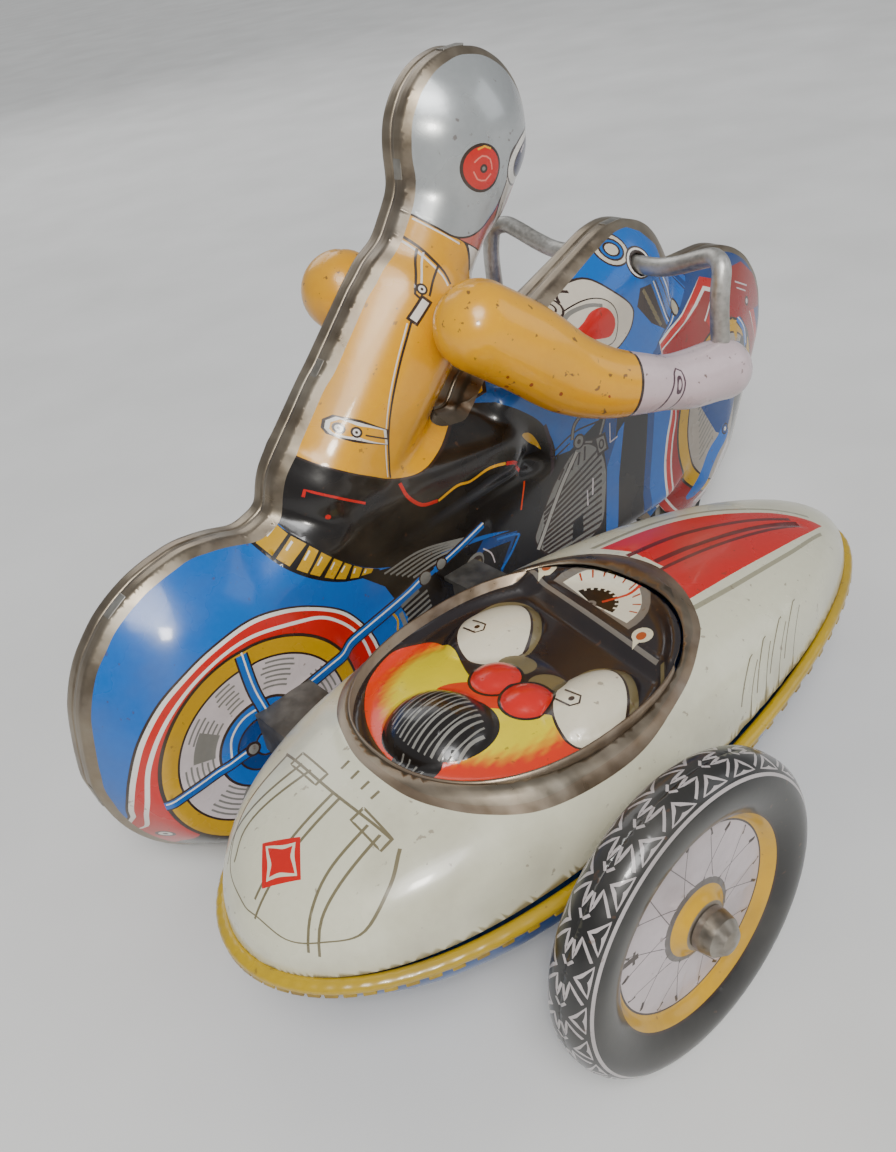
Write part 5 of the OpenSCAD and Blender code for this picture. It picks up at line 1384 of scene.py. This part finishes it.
# %% [markdown]
# ## Repeats by Geometry Nodes
# The bent tabs along the seam and the crimps round the sidecar's rim are one small piece each,
# set on points by a node tree, then made real so that they are plain meshes on their body.

# %% Repeat tree
def repeat_tree():
    tree = bpy.data.node_groups.new("repeat_on_points", "GeometryNodeTree")
    add = lambda name, kind, way: tree.interface.new_socket(name, socket_type=kind, in_out=way)
    add("Points", "NodeSocketGeometry", "INPUT")
    add("Piece", "NodeSocketObject", "INPUT")
    add("Finish", "NodeSocketMaterial", "INPUT")
    add("Size", "NodeSocketFloat", "INPUT").default_value = 1.0
    add("Result", "NodeSocketGeometry", "OUTPUT")
    n, link = tree.nodes, tree.links.new
    enter, leave = n.new("NodeGroupInput"), n.new("NodeGroupOutput")
    piece, spots = n.new("GeometryNodeObjectInfo"), n.new("GeometryNodeInstanceOnPoints")
    turn = n.new("GeometryNodeInputNamedAttribute")
    real, finish = n.new("GeometryNodeRealizeInstances"), n.new("GeometryNodeSetMaterial")
    turn.data_type = "FLOAT_VECTOR"
    turn.inputs["Name"].default_value = "turn"
    link(enter.outputs["Piece"], piece.inputs["Object"])
    link(enter.outputs["Points"], spots.inputs["Points"])
    link(piece.outputs["Geometry"], spots.inputs["Instance"])
    link(turn.outputs["Attribute"], spots.inputs["Rotation"])
    link(enter.outputs["Size"], spots.inputs["Scale"])
    link(spots.outputs["Instances"], real.inputs["Geometry"])
    link(real.outputs["Geometry"], finish.inputs["Geometry"])
    link(enter.outputs["Finish"], finish.inputs["Material"])
    link(finish.outputs["Geometry"], leave.inputs["Result"])
    return tree

REPEAT = repeat_tree()

def repeat(name, places, turns, size, mat, body):
    """Sets a small rounded plate of the given sides on every place, and rides the result."""
    bm = bmesh.new()
    bmesh.ops.create_cube(bm, size=0.001)
    bmesh.ops.scale(bm, verts=bm.verts, vec=Vector(size))
    bmesh.ops.bevel(bm, geom=bm.edges[:], offset=min(size) * 0.00032, segments=3, profile=0.6, affect="EDGES")
    mesh = bpy.data.meshes.new(name + "_one")
    bm.to_mesh(mesh)
    bm.free()
    one = bpy.data.objects.new(name + "_one", mesh)
    bpy.context.scene.collection.objects.link(one)
    pts = make_mesh(name, places, [])
    spin = pts.data.attributes.new("turn", "FLOAT_VECTOR", "POINT")
    spin.data.foreach_set("vector", np.asarray(turns, np.float32).ravel())
    mod = pts.modifiers.new("repeat", "NODES")
    mod.node_group = REPEAT
    keys = {s.name: s.identifier for s in REPEAT.interface.items_tree if s.in_out == "INPUT"}
    mod[keys["Piece"]], mod[keys["Finish"]], mod[keys["Size"]] = one, mat, 1.0
    bpy.context.view_layer.update()
    made = bpy.data.meshes.new_from_object(pts.evaluated_get(bpy.context.evaluated_depsgraph_get()))
    pts.modifiers.clear()
    pts.data = made
    made.polygons.foreach_set("use_smooth", [True] * len(made.polygons))
    bpy.data.objects.remove(one)
    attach(pts, body)
    print(name, len(places), "pieces,", len(made.polygons), "faces")
    return pts

# %% Seam tabs and rim crimps
TABS = [(-93.5, 26.5, 185), (-78.5, 58.4, 120), (-31.5, 81.5, 135), (8.5, 124.6, 90), (44, 84.3, 90),
        (-5.6, 108.5, 172)]
edge_ring = np.array(outline)
tab_at, tab_turn = [], []
for x, z, deg in TABS:
    near = edge_ring[np.argmin(np.hypot(edge_ring[:, 0] - x, edge_ring[:, 1] - z))]
    tab_at.append((near[0] - 0.12 * math.cos(math.radians(deg)), -1.25,
                   near[1] - 0.12 * math.sin(math.radians(deg))))
    tab_turn.append((0, -math.radians(deg), 0))
repeat("seam_tabs", tab_at, tab_turn, (0.45, 2.1, 4.6), PLATE_STEEL, "root")
count = 84
crimp_a = np.arange(count) / count * math.tau
crimp_xy = plan(crimp_a, -0.32) + (CX, CY)
ahead_xy = plan(crimp_a + 0.01, -0.32) + (CX, CY) - crimp_xy
repeat("rim_crimps", np.column_stack([crimp_xy, np.full(count, 27.75)]),
       np.column_stack([np.zeros(count), np.zeros(count), np.arctan2(ahead_xy[:, 1], ahead_xy[:, 0])]),
       (1.9, 0.5, 1.1), RIM_TIN, "root")

# %% [markdown]
# ## Floor, light and camera
# The camera stands where it sees the toy from behind, above and to the right.

# %% Stage
for o in [o for o in bpy.data.objects if o.name.startswith("punch")]:
    bpy.data.objects.remove(o)
bpy.ops.mesh.primitive_plane_add(size=60, location=(0, 0, 0))
floor = bpy.context.object
floor.name = "floor"
floor.data.materials.append(worn("floor_paper", (0.80, 0.80, 0.79), (0.76, 0.76, 0.75), 0.0, 0.7, 3, 0.02))

def lamp(name, at, aim, watts, size, colour=(1, 1, 1)):
    data = bpy.data.lights.new(name, "AREA")
    data.energy, data.size, data.color = watts, size, colour
    obj = bpy.data.objects.new(name, data)
    obj.location = at
    obj.rotation_euler = (Vector(aim) - Vector(at)).to_track_quat("-Z", "Y").to_euler()
    bpy.context.scene.collection.objects.link(obj)
    return obj

lamp("key", (-0.35, -0.55, 0.75), (0, -0.02, 0.05), 2.6, 0.35)
lamp("fill", (0.7, -0.6, 0.5), (0, 0, 0.05), 1.2, 0.6, (0.93, 0.96, 1))
lamp("back", (0.2, 0.8, 0.6), (0, 0, 0.05), 2.0, 0.6)
lamp("flash", (-0.15, -0.19, 0.20), (-0.02, -0.03, 0.05), 0.22, 0.03, (1, 0.97, 0.9))
day = bpy.data.lights.new("day", "SUN")
day.energy, day.angle = 1.2, 0.5
sky_lamp = bpy.data.objects.new("day", day)
sky_lamp.rotation_euler = (0.5, -0.35, 0)
bpy.context.scene.collection.objects.link(sky_lamp)
world = bpy.data.worlds.new("room")
bpy.context.scene.world = world
world.use_nodes = True
world.node_tree.nodes["Background"].inputs[0].default_value = (0.86, 0.88, 0.9, 1)
world.node_tree.nodes["Background"].inputs[1].default_value = 0.36

cam = bpy.data.cameras.new("camera")
cam.lens, cam.sensor_width, cam.clip_start = 34.65, 36, 0.01
eye = bpy.data.objects.new("camera", cam)
bpy.context.scene.collection.objects.link(eye)
ahead, above = Vector((0.48284, 0.68897, -0.54054)), Vector((0.45773, 0.32767, 0.82651))
side = ahead.cross(above).normalized()
eye.matrix_world = Matrix.Translation((-0.1233, -0.1603, 0.1521)) @ Matrix((side, side.cross(ahead),
        -ahead)).transposed().to_4x4()
bpy.context.scene.camera = eye
